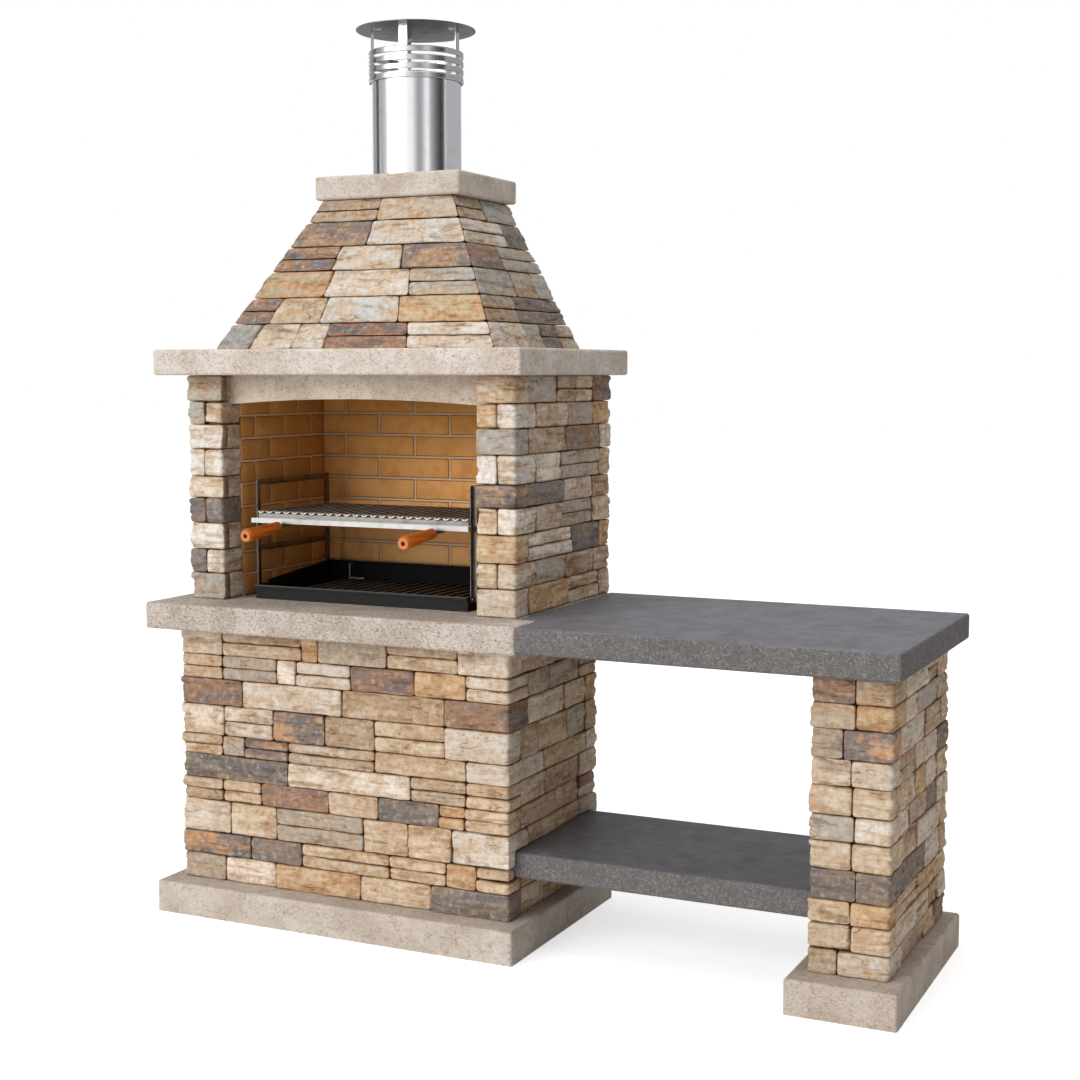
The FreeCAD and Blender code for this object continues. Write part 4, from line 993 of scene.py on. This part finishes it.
@dataclass
class SplitBlock:
    """One closed stone: a rough face, worn edges, plain sides and back."""

    place: Place
    cut: StoneCut
    lot: float
    profile: tuple[Point, ...] = (  # reach out, drop, share of the face's depth
        (0.50, 0.22, 0.9), (0.88, 0.70, 0.7), (1.0, 1.60, 0.4))
    corner_reach: float = 0.55
    end_reach: float = 0.03
    edge_shade: float = 0.35
    soft_edges: float = 3.2
    sink: float = 0.30
    stagger: float = 0.5
    proud: float = 0.3

    def __post_init__(self) -> None:
        """Lay out the points of the face."""
        self.columns = self.place.columns(self.cut.grid, self.cut.edge)
        steps = max(2, round(self.place.height / self.cut.grid))
        self.rows = np.linspace(self.cut.edge, self.place.height - self.cut.edge, steps + 1)
        self.wide, self.tall = len(self.columns), len(self.rows)
        self.rim = [*range(self.wide), *(row * self.wide + self.wide - 1 for row in range(1, self.tall)),
                    *((self.tall - 1) * self.wide + column for column in range(self.wide - 2, -1, -1)),
                    *(row * self.wide for row in range(self.tall - 2, 0, -1))]

    def build(self) -> tuple[np.ndarray, Faces, np.ndarray]:
        """Cut the stone.

        Returns:
            Its points, its faces and the relief of each point, lowered on the rim so that its material paints
            shade along the worn edges.
        """
        along, up, depth, heights = self._face()
        rim = np.array(self.rim)
        column, row = rim % self.wide, rim // self.wide
        aside = (column == self.wide - 1) * 1.0 - (column == 0)
        above = (row == self.tall - 1) * 1.0 - (row == 0)
        corner = np.where((aside != 0) & (above != 0), self.corner_reach, 1.0)
        rings = [(along, up, depth, 0.5 + 0.5 * heights)]
        for reach, drop, follow in self.profile:
            out = (self.cut.edge + self.cut.grow) * reach * corner
            level = np.maximum(depth[rim], 0) * follow + self.cut.edge * drop
            # painted shade: the rim's relief falls towards the edge, so the stone material darkens the worn
            # edges
            relief = np.full(len(rim), 0.5 - self.edge_shade * reach)
            rings.append((along[rim] + aside * out, up[rim] + above * out, level, relief))
        rings.append((*rings[-1][:2], np.full(len(rim), self.place.thick), rings[-1][3]))
        along, up, depth, relief = (np.concatenate(values) for values in zip(*rings))
        spots = np.concatenate([np.arange(self.wide * self.tall), *[rim] * (len(rings) - 1)])
        along, up = self._wander(along, up, spots)
        return self.place.at(along, up, depth), self._faces(len(rings) - 1), relief

    def _face(self) -> tuple[np.ndarray, np.ndarray, np.ndarray, np.ndarray]:
        """Work out the split face.

        Returns:
            Distance along, height, depth below the CAD face and relief of each of its points.
        """
        cut, place = self.cut, self.place
        along, up = (axis.ravel() for axis in np.meshgrid(self.columns, self.rows))
        heights = np.array([split_relief(a, b, self.lot) for a, b in zip(along, up)])
        border = np.minimum.reduce([along, place.length - along, up, place.height - up])
        soft = fade(border, self.soft_edges * cut.edge) ** 2
        split = cut.relief * (self.sink - heights + self.stagger * (self.lot - 0.5))
        depth = split + cut.edge * (0.5 - np.minimum(heights, 0)) * soft
        return along, up, np.maximum(depth, -self.proud * cut.relief), heights

    def _wander(self, along: np.ndarray, up: np.ndarray, spots: np.ndarray) -> tuple[np.ndarray, np.ndarray]:
        """Let the four edges run out of true.

        Args:
            along: Distances along the face.
            up: Heights on the face.
            spots: Number of the face's point that each one hangs on.

        Returns:
            The changed distances and heights.
        """
        low, high = (edge_wander(self.columns, side, self.lot, self.cut.wander) for side in (1, 2))
        left, right = (edge_wander(self.rows, side, self.lot, self.cut.wander) for side in (3, 4))
        column, row, half = spots % self.wide, spots // self.wide, self.place.height / 2
        shift = left[row] * fade(along, self.end_reach)
        shift -= right[row] * fade(self.place.length - along, self.end_reach)
        lift = low[column] * fade(up, half) - high[column] * fade(self.place.height - up, half)
        return along + shift, up + lift

    def _faces(self, rings: int) -> Faces:
        """Join the points up.

        Args:
            rings: Rings of points round the face, the last of them at the back.

        Returns:
            The faces of the closed stone.
        """
        wide, tall, count = self.wide, self.tall, len(self.rim)
        faces = [(spot, spot + 1, spot + wide + 1, spot + wide)
                 for row in range(tall - 1) for spot in range(row * wide, row * wide + wide - 1)]
        inner, base = self.rim, wide * tall
        for _ in range(rings):
            outer = list(range(base, base + count))
            faces += [(inner[i], outer[i], outer[(i + 1) % count], inner[(i + 1) % count])
                      for i in range(count)]
            inner, base = outer, base + count
        low, right = inner[:wide], inner[wide:wide + tall - 2]
        high, left = inner[wide + tall - 2:2 * wide + tall - 2][::-1], inner[2 * wide + tall - 2:]
        faces += [(low[i + 1], low[i], high[i], high[i + 1]) for i in range(1, wide - 2)]
        faces.append((low[1], low[0], *left[::-1], high[0], high[1]))
        faces.append((low[-1], low[-2], high[-2], high[-1], *right[::-1]))
        return faces


def trimmed_stone(points: np.ndarray, loops: Faces, cut: StoneCut,
                  lot: float) -> tuple[np.ndarray, Faces, np.ndarray]:
    """Roughen a stone that was cut to fit round another piece.

    Args:
        points: Points of its solid.
        loops: Faces of its solid.
        cut: How it is cut.
        lot: Its own random number.

    Returns:
        Its points, its faces and the height of each point.
    """
    mesh = bpy.data.meshes.new("trimmed")
    mesh.from_pydata(points.tolist(), [], loops)
    thing = put("trimmed", mesh)
    grid = thing.modifiers.new("grid", "REMESH")
    grid.mode = "VOXEL"
    grid.voxel_size = min(cut.grid, 0.4 * float(np.ptp(points, axis=0).min()))
    ready = thing.evaluated_get(bpy.context.evaluated_depsgraph_get()).to_mesh()
    spots = np.array([vertex.co for vertex in ready.vertices])
    ways = np.array([vertex.normal for vertex in ready.vertices])
    faces = [tuple(polygon.vertices) for polygon in ready.polygons]
    bpy.data.objects.remove(thing)
    bpy.data.meshes.remove(mesh)
    heights = np.array([split_relief(spot[0] + spot[1], spot[2], lot) for spot in spots])
    spots = spots + ways * (cut.relief * 0.5 * (heights - 0.5))[:, None]
    return spots, faces, 0.5 + 0.5 * heights


@dataclass(frozen=True)
class CoursePlan:
    """Tones of a face, listed course by course: height of each course from the top, and a letter for each
    stone.
    """

    axis: int
    pitches: tuple[float, ...]
    letters: str

    @property
    def rows(self) -> list[tuple[float, str]]:
        """Height and letters of each course."""
        return list(zip(self.pitches, self.letters.split()))


class Replacement:
    """Sub-assembly whose pieces stand in the places of CAD nodes."""

    body: str

    def dress(self, piece: bpy.types.Object, node: str, finish: Material, slot: str) -> None:
        """Give a piece its material and put it in its node's place.

        Args:
            piece: The finished piece.
            node: CAD node that it stands for.
            finish: Material of the piece.
            slot: Name of a material slot; not used.
        """
        piece.data.materials.append(finish)
        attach(piece, self.body)
        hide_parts(node)


@dataclass
class Stonework(Replacement):
    """Facing of one sub-assembly: each CAD stone becomes a split stone of its own tone."""

    nodes: dict[str, str]
    cut: StoneCut
    seed: int
    plans: dict[str, CoursePlan]
    # lightness of the whole facing: painted light and shade for how brightly its sub-assembly is lit
    light: float
    warm: float
    body: str = "masonry"
    light_spread: tuple[float, float] = (0.88, 1.10)
    warm_spread: tuple[float, float] = (-0.03, 0.03)
    head_gap: float = 0.025

    def build(self, finish: Material) -> None:
        """Cut and lay the stones of every face.

        Args:
            finish: Material of the stones.
        """
        chance = random.Random(self.seed)
        for node, name in self.nodes.items():
            quarry = Quarry(node)
            solids = quarry.islands()
            places = [quarry.place(spots, loops) for spots, loops in solids]
            middles = [place.centre if place else quarry.points[spots].mean(0)
                       for place, (spots, _) in zip(places, solids)]
            mesh = StoneMesh()
            for place, (spots, loops), tone in zip(places, solids, self._tones(node, middles, chance)):
                lot = chance.random()
                colour = self._vary(tone.colour, chance)
                if place:
                    points, faces, relief = SplitBlock(place, self.cut, lot).build()
                else:
                    own = {int(spot): number for number, spot in enumerate(spots)}
                    local = [tuple(own[spot] for spot in loop) for loop in loops]
                    points, faces, relief = trimmed_stone(quarry.points[spots], local, self.cut, lot)
                mesh.add(points, faces, relief, colour, tone.patch, lot)
            self.dress(mesh.piece(name), node, finish, "facing_stone")
            LOG.info("%s: %d stones, %d points", name, len(solids), mesh.count)

    def _vary(self, colour: Colour, chance: random.Random) -> Colour:
        """Make a tone a little lighter, darker, warmer or cooler.

        Args:
            colour: The tone's colour.
            chance: Source of random numbers.

        Returns:
            The colour of one stone.
        """
        # painted light and shade: the facing's lightness, with a random spread for each stone
        light = self.light * chance.uniform(*self.light_spread)
        warm = self.warm + chance.uniform(*self.warm_spread)
        return (colour[0] * light * (1 + warm), colour[1] * light, colour[2] * light * (1 - warm), 1.0)

    def _tones(self, node: str, middles: list[np.ndarray], chance: random.Random) -> list[Tone]:
        """Choose the tone of each stone.

        Args:
            node: Face that is laid.
            middles: Middle of each stone.
            chance: Source of random numbers.

        Returns:
            One tone for each stone.
        """
        tones = [TONE_LETTERS[chance.choice(USUAL_TONES)] for _ in middles]
        plan = self.plans.get(node)
        if not plan:
            return tones
        low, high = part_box(node)
        top, full = high.z, sum(height for height, _ in plan.rows)
        for height, letters in plan.rows:
            bottom = top - height / full * (high.z - low.z)
            course = sorted((middle[plan.axis], number) for number, middle in enumerate(middles)
                            if bottom < middle[2] <= top)
            heads: list[float] = []
            for spot, number in course:
                if not heads or spot - heads[-1] > self.head_gap:
                    heads.append(spot)
                tones[number] = TONE_LETTERS[letters[min(len(heads), len(letters)) - 1]]
            top = bottom
        return tones


@dataclass
class BrickLining(Replacement):
    """Firebrick lining of the firebox, with painted light and shade in the tones of its bricks."""

    walls: dict[str, tuple[Point, float, float]]
    cut: StoneCut
    seed: int
    # painted light at the foot of each wall, where the grate shades it, and painted shade at its top, under
    # the lintel
    painted_light_low: float = 1.12
    painted_light_high: float = 0.95
    brightest: float = 0.95
    light_spread: tuple[float, float] = (0.85, 1.00)
    painted_light_tint: Colour = paint(250, 184, 124)
    body: str = "masonry"

    def build(self, finish: Material) -> None:
        """Lay the bricks of each wall.

        Args:
            finish: Material of the bricks.
        """
        chance = random.Random(self.seed)
        # each wall's own factor is painted shade on the side walls and painted light on the back wall
        for wall, (way, painted_wall_light, painted_light_share) in self.walls.items():
            node, name = f"firebricks_{wall}", f"lining_bricks_{wall}"
            quarry = Quarry(node, way)
            low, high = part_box(node)
            mesh = StoneMesh()
            for spots, loops in quarry.islands():
                lot = chance.random()
                height = (quarry.points[spots][:, 2].mean() - low.z) / (high.z - low.z)
                tone = self._tone(painted_wall_light * chance.uniform(*self.light_spread), painted_light_share, height)
                points, faces, relief = SplitBlock(quarry.place(spots, loops), self.cut, lot).build()
                mesh.add(points, faces, relief, tone, Tone.BRICK.patch, lot)
            self.dress(mesh.piece(name), node, finish, "firebrick")
            LOG.info("%s: %d points", name, mesh.count)

    def _tone(self, light: float, painted_light_share: float, height: float) -> Colour:
        """Colour of one brick, paler with painted light the lower it lies and darker with painted shade
        towards the top.

        Args:
            light: How light the brick is, with its wall's painted light and shade.
            painted_light_share: Share of the pale painted light on the lowest bricks of its wall.
            height: Its height, from 0 at the foot of the wall to 1 at the top.

        Returns:
            The colour.
        """
        # painted light low on the wall, painted shade high on it
        light *= self.painted_light_low + (self.painted_light_high - self.painted_light_low) * height
        # painted light: the lower a brick lies, the more it takes of the pale tint
        pairs = zip(self.painted_light_tint[:3], Tone.BRICK.colour[:3])
        parts = (clean + (lit_part - clean) * painted_light_share * (1 - height) for lit_part, clean in pairs)
        return (*(min(self.brightest, part * light) for part in parts), 1.0)


STEEL_SLOTS = {"charcoal_tray": "tray_black", "rack_left": "rack_steel", "rack_right": "rack_steel",
               "ember_bars": "ember_iron", "grate_frame": "grate_steel", "drip_channel": "grate_steel"}


@dataclass
class EasedSteel(Replacement):
    """Steel pieces of one body, with the sharp edges of their CAD solids eased so that they catch light."""

    body: str
    pieces: tuple[tuple[str, str, str, float], ...]
    turns: int = 2
    profile: float = 0.5
    flat: float = math.radians(1.0)
    sharp: float = math.radians(25.0)

    def build(self, makers: dict[str, Material]) -> None:
        """Copy each solid and ease its edges.

        Args:
            makers: Materials by the name of their finish.
        """
        for node, name, finish, ease in self.pieces:
            shape = bmesh.new()
            shape.from_mesh(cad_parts[node].data)
            bmesh.ops.remove_doubles(shape, verts=shape.verts, dist=WELD)
            bmesh.ops.dissolve_limit(shape, angle_limit=self.flat, verts=shape.verts, edges=shape.edges)
            edges = [edge for edge in shape.edges if edge.is_manifold and edge.calc_face_angle() > self.sharp]
            bmesh.ops.bevel(shape, geom=edges, offset=ease, offset_type="OFFSET", segments=self.turns,
                            profile=self.profile, affect="EDGES", clamp_overlap=True)
            mesh = bpy.data.meshes.new(name)
            shape.to_mesh(mesh)
            shape.free()
            self.dress(put(name, mesh), node, makers[finish], STEEL_SLOTS[node])
            LOG.info("%s: %d points", name, len(mesh.vertices))


@dataclass
class Carcass:
    """CAD pieces that keep their shape and only take a finish."""

    finishes: dict[str, tuple[str, ...]]

    def dress(self, makers: dict[str, Material]) -> None:
        """Give each node its material.

        Args:
            makers: Materials by the name of their finish.
        """
        for finish, nodes in self.finishes.items():
            for node in nodes:
                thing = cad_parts[node]
                thing.data.materials.clear()
                thing.data.materials.append(makers[finish])
                LOG.info("%s takes %s", node, finish)


@dataclass
class MirrorScreens:
    """Grey screens in a ring round the stage and on its floor, which only bright metal and gloss see."""

    centre: tuple[float, float] = (0.0, 0.2)
    radius: float = 6.5
    inner: float = 2.2
    low: float = 0.004
    high: float = 7.0
    step: float = 4.0
    blue: float = 1.03
    screens: tuple[tuple[str, float, float, float], ...] = (  # name, bearings in degrees, grey
        ("back_screen", 19.0, 128.0, 0.46), ("right_black_screen", 0.0, 15.0, 0.03),
        ("right_dark_screen", -8.0, 0.0, 0.10), ("right_grey_screen", -16.0, -8.0, 0.20),
        ("right_pale_screen", -24.0, -16.0, 0.34), ("right_line_screen", -27.0, -25.0, 0.08),
        ("front_right_screen", -46.0, -40.0, 0.62), ("front_screen", -60.0, -46.0, 0.36),
        ("front_left_screen", -68.0, -60.0, 0.62), ("left_pale_screen", -155.0, -143.0, 0.58),
        ("left_blue_screen", -167.0, -155.0, 0.42), ("left_dark_screen", -187.0, -170.0, 0.06),
        ("left_grey_screen", -208.0, -189.0, 0.34),
    )

    def build(self) -> None:
        """Stand the screens in their ring, each from one bearing to another."""
        for name, start, stop, grey in self.screens:
            count = max(1, round((stop - start) / self.step))
            points: list[Point] = []
            for number in range(count + 1):
                bearing = math.radians(start + (stop - start) * number / count)
                for reach, level in ((self.inner, self.low), (self.radius, self.low),
                                     (self.radius, self.high)):
                    points.append((self.centre[0] + reach * math.cos(bearing),
                                   self.centre[1] + reach * math.sin(bearing), level))
            faces = [(i + row, i + row + 1, i + row + 4, i + row + 3)
                     for i in range(0, 3 * count, 3) for row in (0, 1)]
            self.dress(name, points, faces, grey)

    def dress(self, name: str, points: list[Point], faces: Faces, grey: float) -> None:
        """Make one screen, hidden from all but mirrors.

        Args:
            name: Name of the screen.
            points: Its corners.
            faces: Its panels.
            grey: How bright it looks.
        """
        mesh = bpy.data.meshes.new(name)
        mesh.from_pydata(points, [], faces)
        screen = put(name, mesh)
        for ray in ("camera", "diffuse", "shadow", "transmission"):
            setattr(screen, f"visible_{ray}", False)
        sheet = FinishSheet(name)
        sheet.close(sheet.node("ShaderNodeEmission", None, {"Color": (grey, grey, grey * self.blue, 1.0)}))
        mesh.materials.append(sheet.material)


@dataclass
class Studio:
    """Pale floor, soft lights and the camera of the photograph."""

    eye: Point = (2.5233, -4.2996, 1.5482)
    tilt: float = 84.5035
    turn: float = 25.278
    lens: float = 57.85
    sensor: float = 36.0
    ambient: float = 0.46
    floor_side: float = 40.0
    floor_colour: Colour = (0.86, 0.86, 0.86, 1.0)
    floor_glow: float = 0.60
    key_from: Point = (-0.40, -0.86, 0.32)
    key_power: float = 2.2
    key_spread: float = 46.0
    top_spot: Point = (0.4, 0.0, 6.0)
    top_size: float = 4.0
    top_power: float = 100.0

    def build(self) -> None:
        """Set up floor, world, lights and camera."""
        bpy.context.scene.view_settings.view_transform = "Standard"
        self._floor()
        self._world()
        self._key()
        self._top()
        self._camera()

    @staticmethod
    def _seen(sheet: FinishSheet) -> Wire:
        """1 on rays from the camera, mirrors and glass, 0 on the rest."""
        camera, mirror, glass = (sheet.node("ShaderNodeLightPath", out=f"Is {kind} Ray")
                                 for kind in ("Camera", "Glossy", "Transmission"))
        return sheet.band(camera + mirror + glass, 0.0, 1.0)

    def _floor(self) -> None:
        """Lay the floor."""
        mesh = bpy.data.meshes.new("studio_floor")
        side = self.floor_side
        corners = [(-side, -side, 0), (side, -side, 0), (side, side, 0), (-side, side, 0)]
        mesh.from_pydata(corners, [], [(0, 1, 2, 3)])
        floor = put("studio_floor", mesh)
        sheet = FinishSheet("studio_floor")
        glow = sheet.node("ShaderNodeEmission", None, {"Strength": self._seen(sheet) * self.floor_glow})
        matt = sheet.node("ShaderNodeBsdfDiffuse", None, {"Color": self.floor_colour})
        sheet.close(sheet.node("ShaderNodeAddShader", None, {0: matt, 1: glow}))
        mesh.materials.append(sheet.material)

    def _world(self) -> None:
        """Make the world white to the eye and to mirrors, and a plain soft light to everything else."""
        bpy.context.scene.world = bpy.data.worlds.new("studio")
        sheet = FinishSheet("studio", bpy.context.scene.world)
        strength = self.ambient + self._seen(sheet) * (1.0 - self.ambient)
        sky = sheet.node("ShaderNodeBackground", None, {"Color": (1, 1, 1, 1), "Strength": strength})
        sheet.close(sky, "ShaderNodeOutputWorld")

    def _key(self) -> None:
        """Light the front evenly from the left, through a very wide source."""
        light = bpy.data.lights.new("key_light", "SUN")
        light.energy = self.key_power
        light.angle = math.radians(self.key_spread)
        aim = (-Vector(self.key_from)).to_track_quat("-Z", "Y").to_euler()
        put("key_light", light).rotation_euler = aim

    def _top(self) -> None:
        """Hang a square soft light over the object."""
        light = bpy.data.lights.new("top_softbox", "AREA")
        light.size = self.top_size
        light.energy = self.top_power
        put("top_softbox", light).location = self.top_spot

    def _camera(self) -> None:
        """Place the camera at the photograph's viewpoint."""
        data = bpy.data.cameras.new("photograph")
        data.lens = self.lens
        data.sensor_width = self.sensor
        camera = put("photograph", data)
        camera.location = self.eye
        camera.rotation_euler = (math.radians(self.tilt), 0.0, math.radians(self.turn))
        bpy.context.scene.camera = camera


# Heights of the courses of each facing, from the top, in millimetres.
BASE_PITCHES = (78, 69, 76, 87, 58, 69, 64, 94, 67, 73)
PIER_PITCHES = (74, 66, 70, 78, 62, 72, 76, 68, 72)
HOOD_PITCHES = (64, 72, 70, 76, 74, 70)
PILLAR_PITCHES = (68, 62, 74, 66, 72, 64, 70, 76, 58, 66, 60)
ACROSS, BACKWARD = 0, 1
PLANS = {
    "base_stones_front": CoursePlan(ACROSS, BASE_PITCHES,
                                    "CTOGSC SGCCDOC DCTD CCRTSC SGRTSC KCTS TSDSKOS CSGSSC RKSSOS GCOSK"),
    "base_stones_right": CoursePlan(BACKWARD, BASE_PITCHES, "ST TG CS TSG CS ST TS S TOS ST"),
    "pier_stones_left": CoursePlan(ACROSS, PIER_PITCHES, "TT GS CC CC SC KK CC KC GC"),
    "pier_stones_right": CoursePlan(ACROSS, PIER_PITCHES, "TS OC GG CC TR SC TO SS TC"),
    "firebox_stones_right": CoursePlan(BACKWARD, PIER_PITCHES, "GTS SG TD CG KC TG CK GT OS"),
    "hood_stones_front": CoursePlan(ACROSS, HOOD_PITCHES, "TS RC DCR OCG DSCO GCCDC"),
    "hood_stones_right": CoursePlan(BACKWARD, HOOD_PITCHES, "TG CK DG GTG TK CGKT"),
    "pillar_stones_front": CoursePlan(ACROSS, PILLAR_PITCHES, "DT TO GR CC SS GC SS KK SO SS TC"),
    "pillar_stones_right": CoursePlan(BACKWARD, PILLAR_PITCHES, "CT CG CT TC SOC CTK SC KC SO CST TS"),
}


def finishes() -> dict[str, Material]:
    """Make the materials of the CAD pieces.

    Returns:
        Materials by the name of their finish.
    """
    drawn_up, drawn_across, plain = (160.0, 160.0, 2.5), (60.0, 4.0, 60.0), (30.0, 30.0, 30.0)
    made = (
        CastStone("plinth_stone", paint(202, 191, 180), paint(182, 168, 154), 0.48),
        # darker copy of the plinth stone: painted shade where the light falls off towards the pillar
        CastStone("shaded_foot_stone", paint(191, 178, 165), paint(171, 155, 141), 0.55),
        CastStone("hearth_stone", paint(197, 185, 174), paint(172, 158, 145), 1.0, 0.60),
        CastStone("mantel_stone", paint(215, 204, 194), paint(194, 180, 167), 0.60),
        # lighter copy of the mantel stone: painted light on the lintel, which lies in the mantel's shadow
        CastStone("lit_lintel_stone", paint(220, 206, 189), paint(199, 180, 159), 0.45),
        DarkSlab(),
        Mortar("backing_mortar", paint(150, 126, 103), paint(176, 152, 128)),
        Mortar("brick_joint", paint(240, 196, 150), paint(250, 216, 176)),
        Mortar("back_joint", paint(232, 198, 158), paint(242, 212, 176)),
        Steel("flue_steel", paint(238, 238, 240), paint(226, 225, 225), drawn_up, 0.13, worn_rough=0.05),
        # darker copy of the stainless steel: a painted dark, brownish reflection on the cowl disc
        Steel("disc_steel_painted_reflection", paint(128, 126, 126), paint(104, 100, 97), plain, 0.36),
        TrayPaint(),
        Steel("cowl_steel", paint(206, 206, 208), paint(190, 188, 187), plain, 0.20, worn_rough=0.08),
        Steel("rack_steel", paint(104, 97, 88), paint(62, 53, 44), (30.0, 30.0, 4.0), 0.26, 0.95, 0.7),
        Steel("ember_iron", paint(62, 63, 64), paint(98, 98, 97), (40.0, 8.0, 40.0), 0.38, 0.30, 0.8),
        GrateChannelSteel(),
        Steel("frame_steel", paint(128, 125, 121), paint(98, 90, 82), drawn_across, 0.36),
        Steel("bright_steel", paint(164, 162, 159), paint(142, 138, 131), plain, 0.34),
        TurnedWood(),
    )
    return {finish.name: finish.make() for finish in made}


CARCASS = {
    "plinth_stone": ("main_plinth", "cap_slab"),
    "shaded_foot_stone": ("pillar_plinth",),
    "hearth_stone": ("hearth_slab",),
    "mantel_stone": ("mantel_slab",),
    "lit_lintel_stone": ("lintel",),
    "dark_slab": ("side_worktop", "side_shelf"),
    "backing_mortar": ("base_panel_front", "base_panel_back", "base_panel_left", "base_panel_right",
                       "firebox_wall_left", "firebox_wall_right", "firebox_wall_back",
                       "hood_shell", "pillar_core"),
    "brick_joint": ("brick_mortar_left", "brick_mortar_right"),
    "back_joint": ("brick_mortar_back",),
    "flue_steel": ("flue_pipe",),
    "cowl_steel": ("cowl_rings", "cowl_straps", "cowl_rivets"),
    "disc_steel_painted_reflection": ("cowl_disc",),
    "ember_iron": ("ember_bearers",),
    "channel_steel": ("grate_channels",),
    "frame_steel": ("ember_lug",),
    "bright_steel": ("handle_rods", "rack_bolts", "worktop_dowels"),
    "grip_wood": ("grip_left", "grip_right"),
}


ROUND = ("front", "right", "back", "left")
FACINGS = (  # sub-assembly, its faces, seed, lightness with painted light and shade for how it is lit, warmth
    ("base", ROUND, 11, 1.0, 0.0),
    ("pier", ("left", "right"), 19, 1.15, -0.07),
    ("firebox", ("right", "back", "left"), 23, 1.22, -0.03),
    ("hood", ROUND, 37, 0.92, -0.11),
    ("pillar", ROUND, 41, 0.94, -0.02),
)
LINING_SEED = 5
LININGS = {  # wall: direction that its bricks face, painted light and shade of the wall, share of pale painted light on its lowest bricks
    "left": ((1, 0, 0), 0.73, 0.2),
    "right": ((-1, 0, 0), 0.73, 0.2),
    "back": ((0, -1, 0), 1.05, 1.0),
}
STEELWORK = {  # body: CAD node, name of the piece, finish and eased edge of each piece
    "grill_set": (("charcoal_tray", "ash_tray", "tray_black", 0.0016),
                  ("rack_left", "rack_posts_left", "rack_steel", 0.0009),
                  ("rack_right", "rack_posts_right", "rack_steel", 0.0009)),
    "ember_grate": (("ember_bars", "ember_grate_bars", "ember_iron", 0.0014),),
    "cooking_grate": (("grate_frame", "grate_rim", "frame_steel", 0.0010),
                      ("drip_channel", "drip_gutter", "bright_steel", 0.0005)),
}
FINE_GRID, QUICK_GRID = 0.0058, 0.016
STONE_CUT = StoneCut(FINE_GRID, edge=0.0029, relief=0.0062, wander=0.0022,
                     grow=0.0021)
BRICK_CUT = StoneCut(grid=0.030, edge=0.0025, relief=0.0008, wander=0.0010, grow=-0.0012)


def main() -> None:
    """Build every sub-assembly in order."""
    logging.basicConfig(level=logging.INFO, format="%(message)s")
    stone = SplitStone().make()
    for part, faces, seed, light, warm in FACINGS:
        nodes = {f"{part}_stones_{face}": f"{part}_stonework_{face}" for face in faces}
        Stonework(nodes, STONE_CUT, seed, PLANS, light, warm).build(stone)
    BrickLining(LININGS, BRICK_CUT, LINING_SEED).build(Firebrick().make())
    made = finishes()
    Carcass(CARCASS).dress(made)
    for body, pieces in STEELWORK.items():
        EasedSteel(body, pieces).build(made)
    MirrorScreens().build()
    Studio().build()


if __name__ == "__main__":
    main()
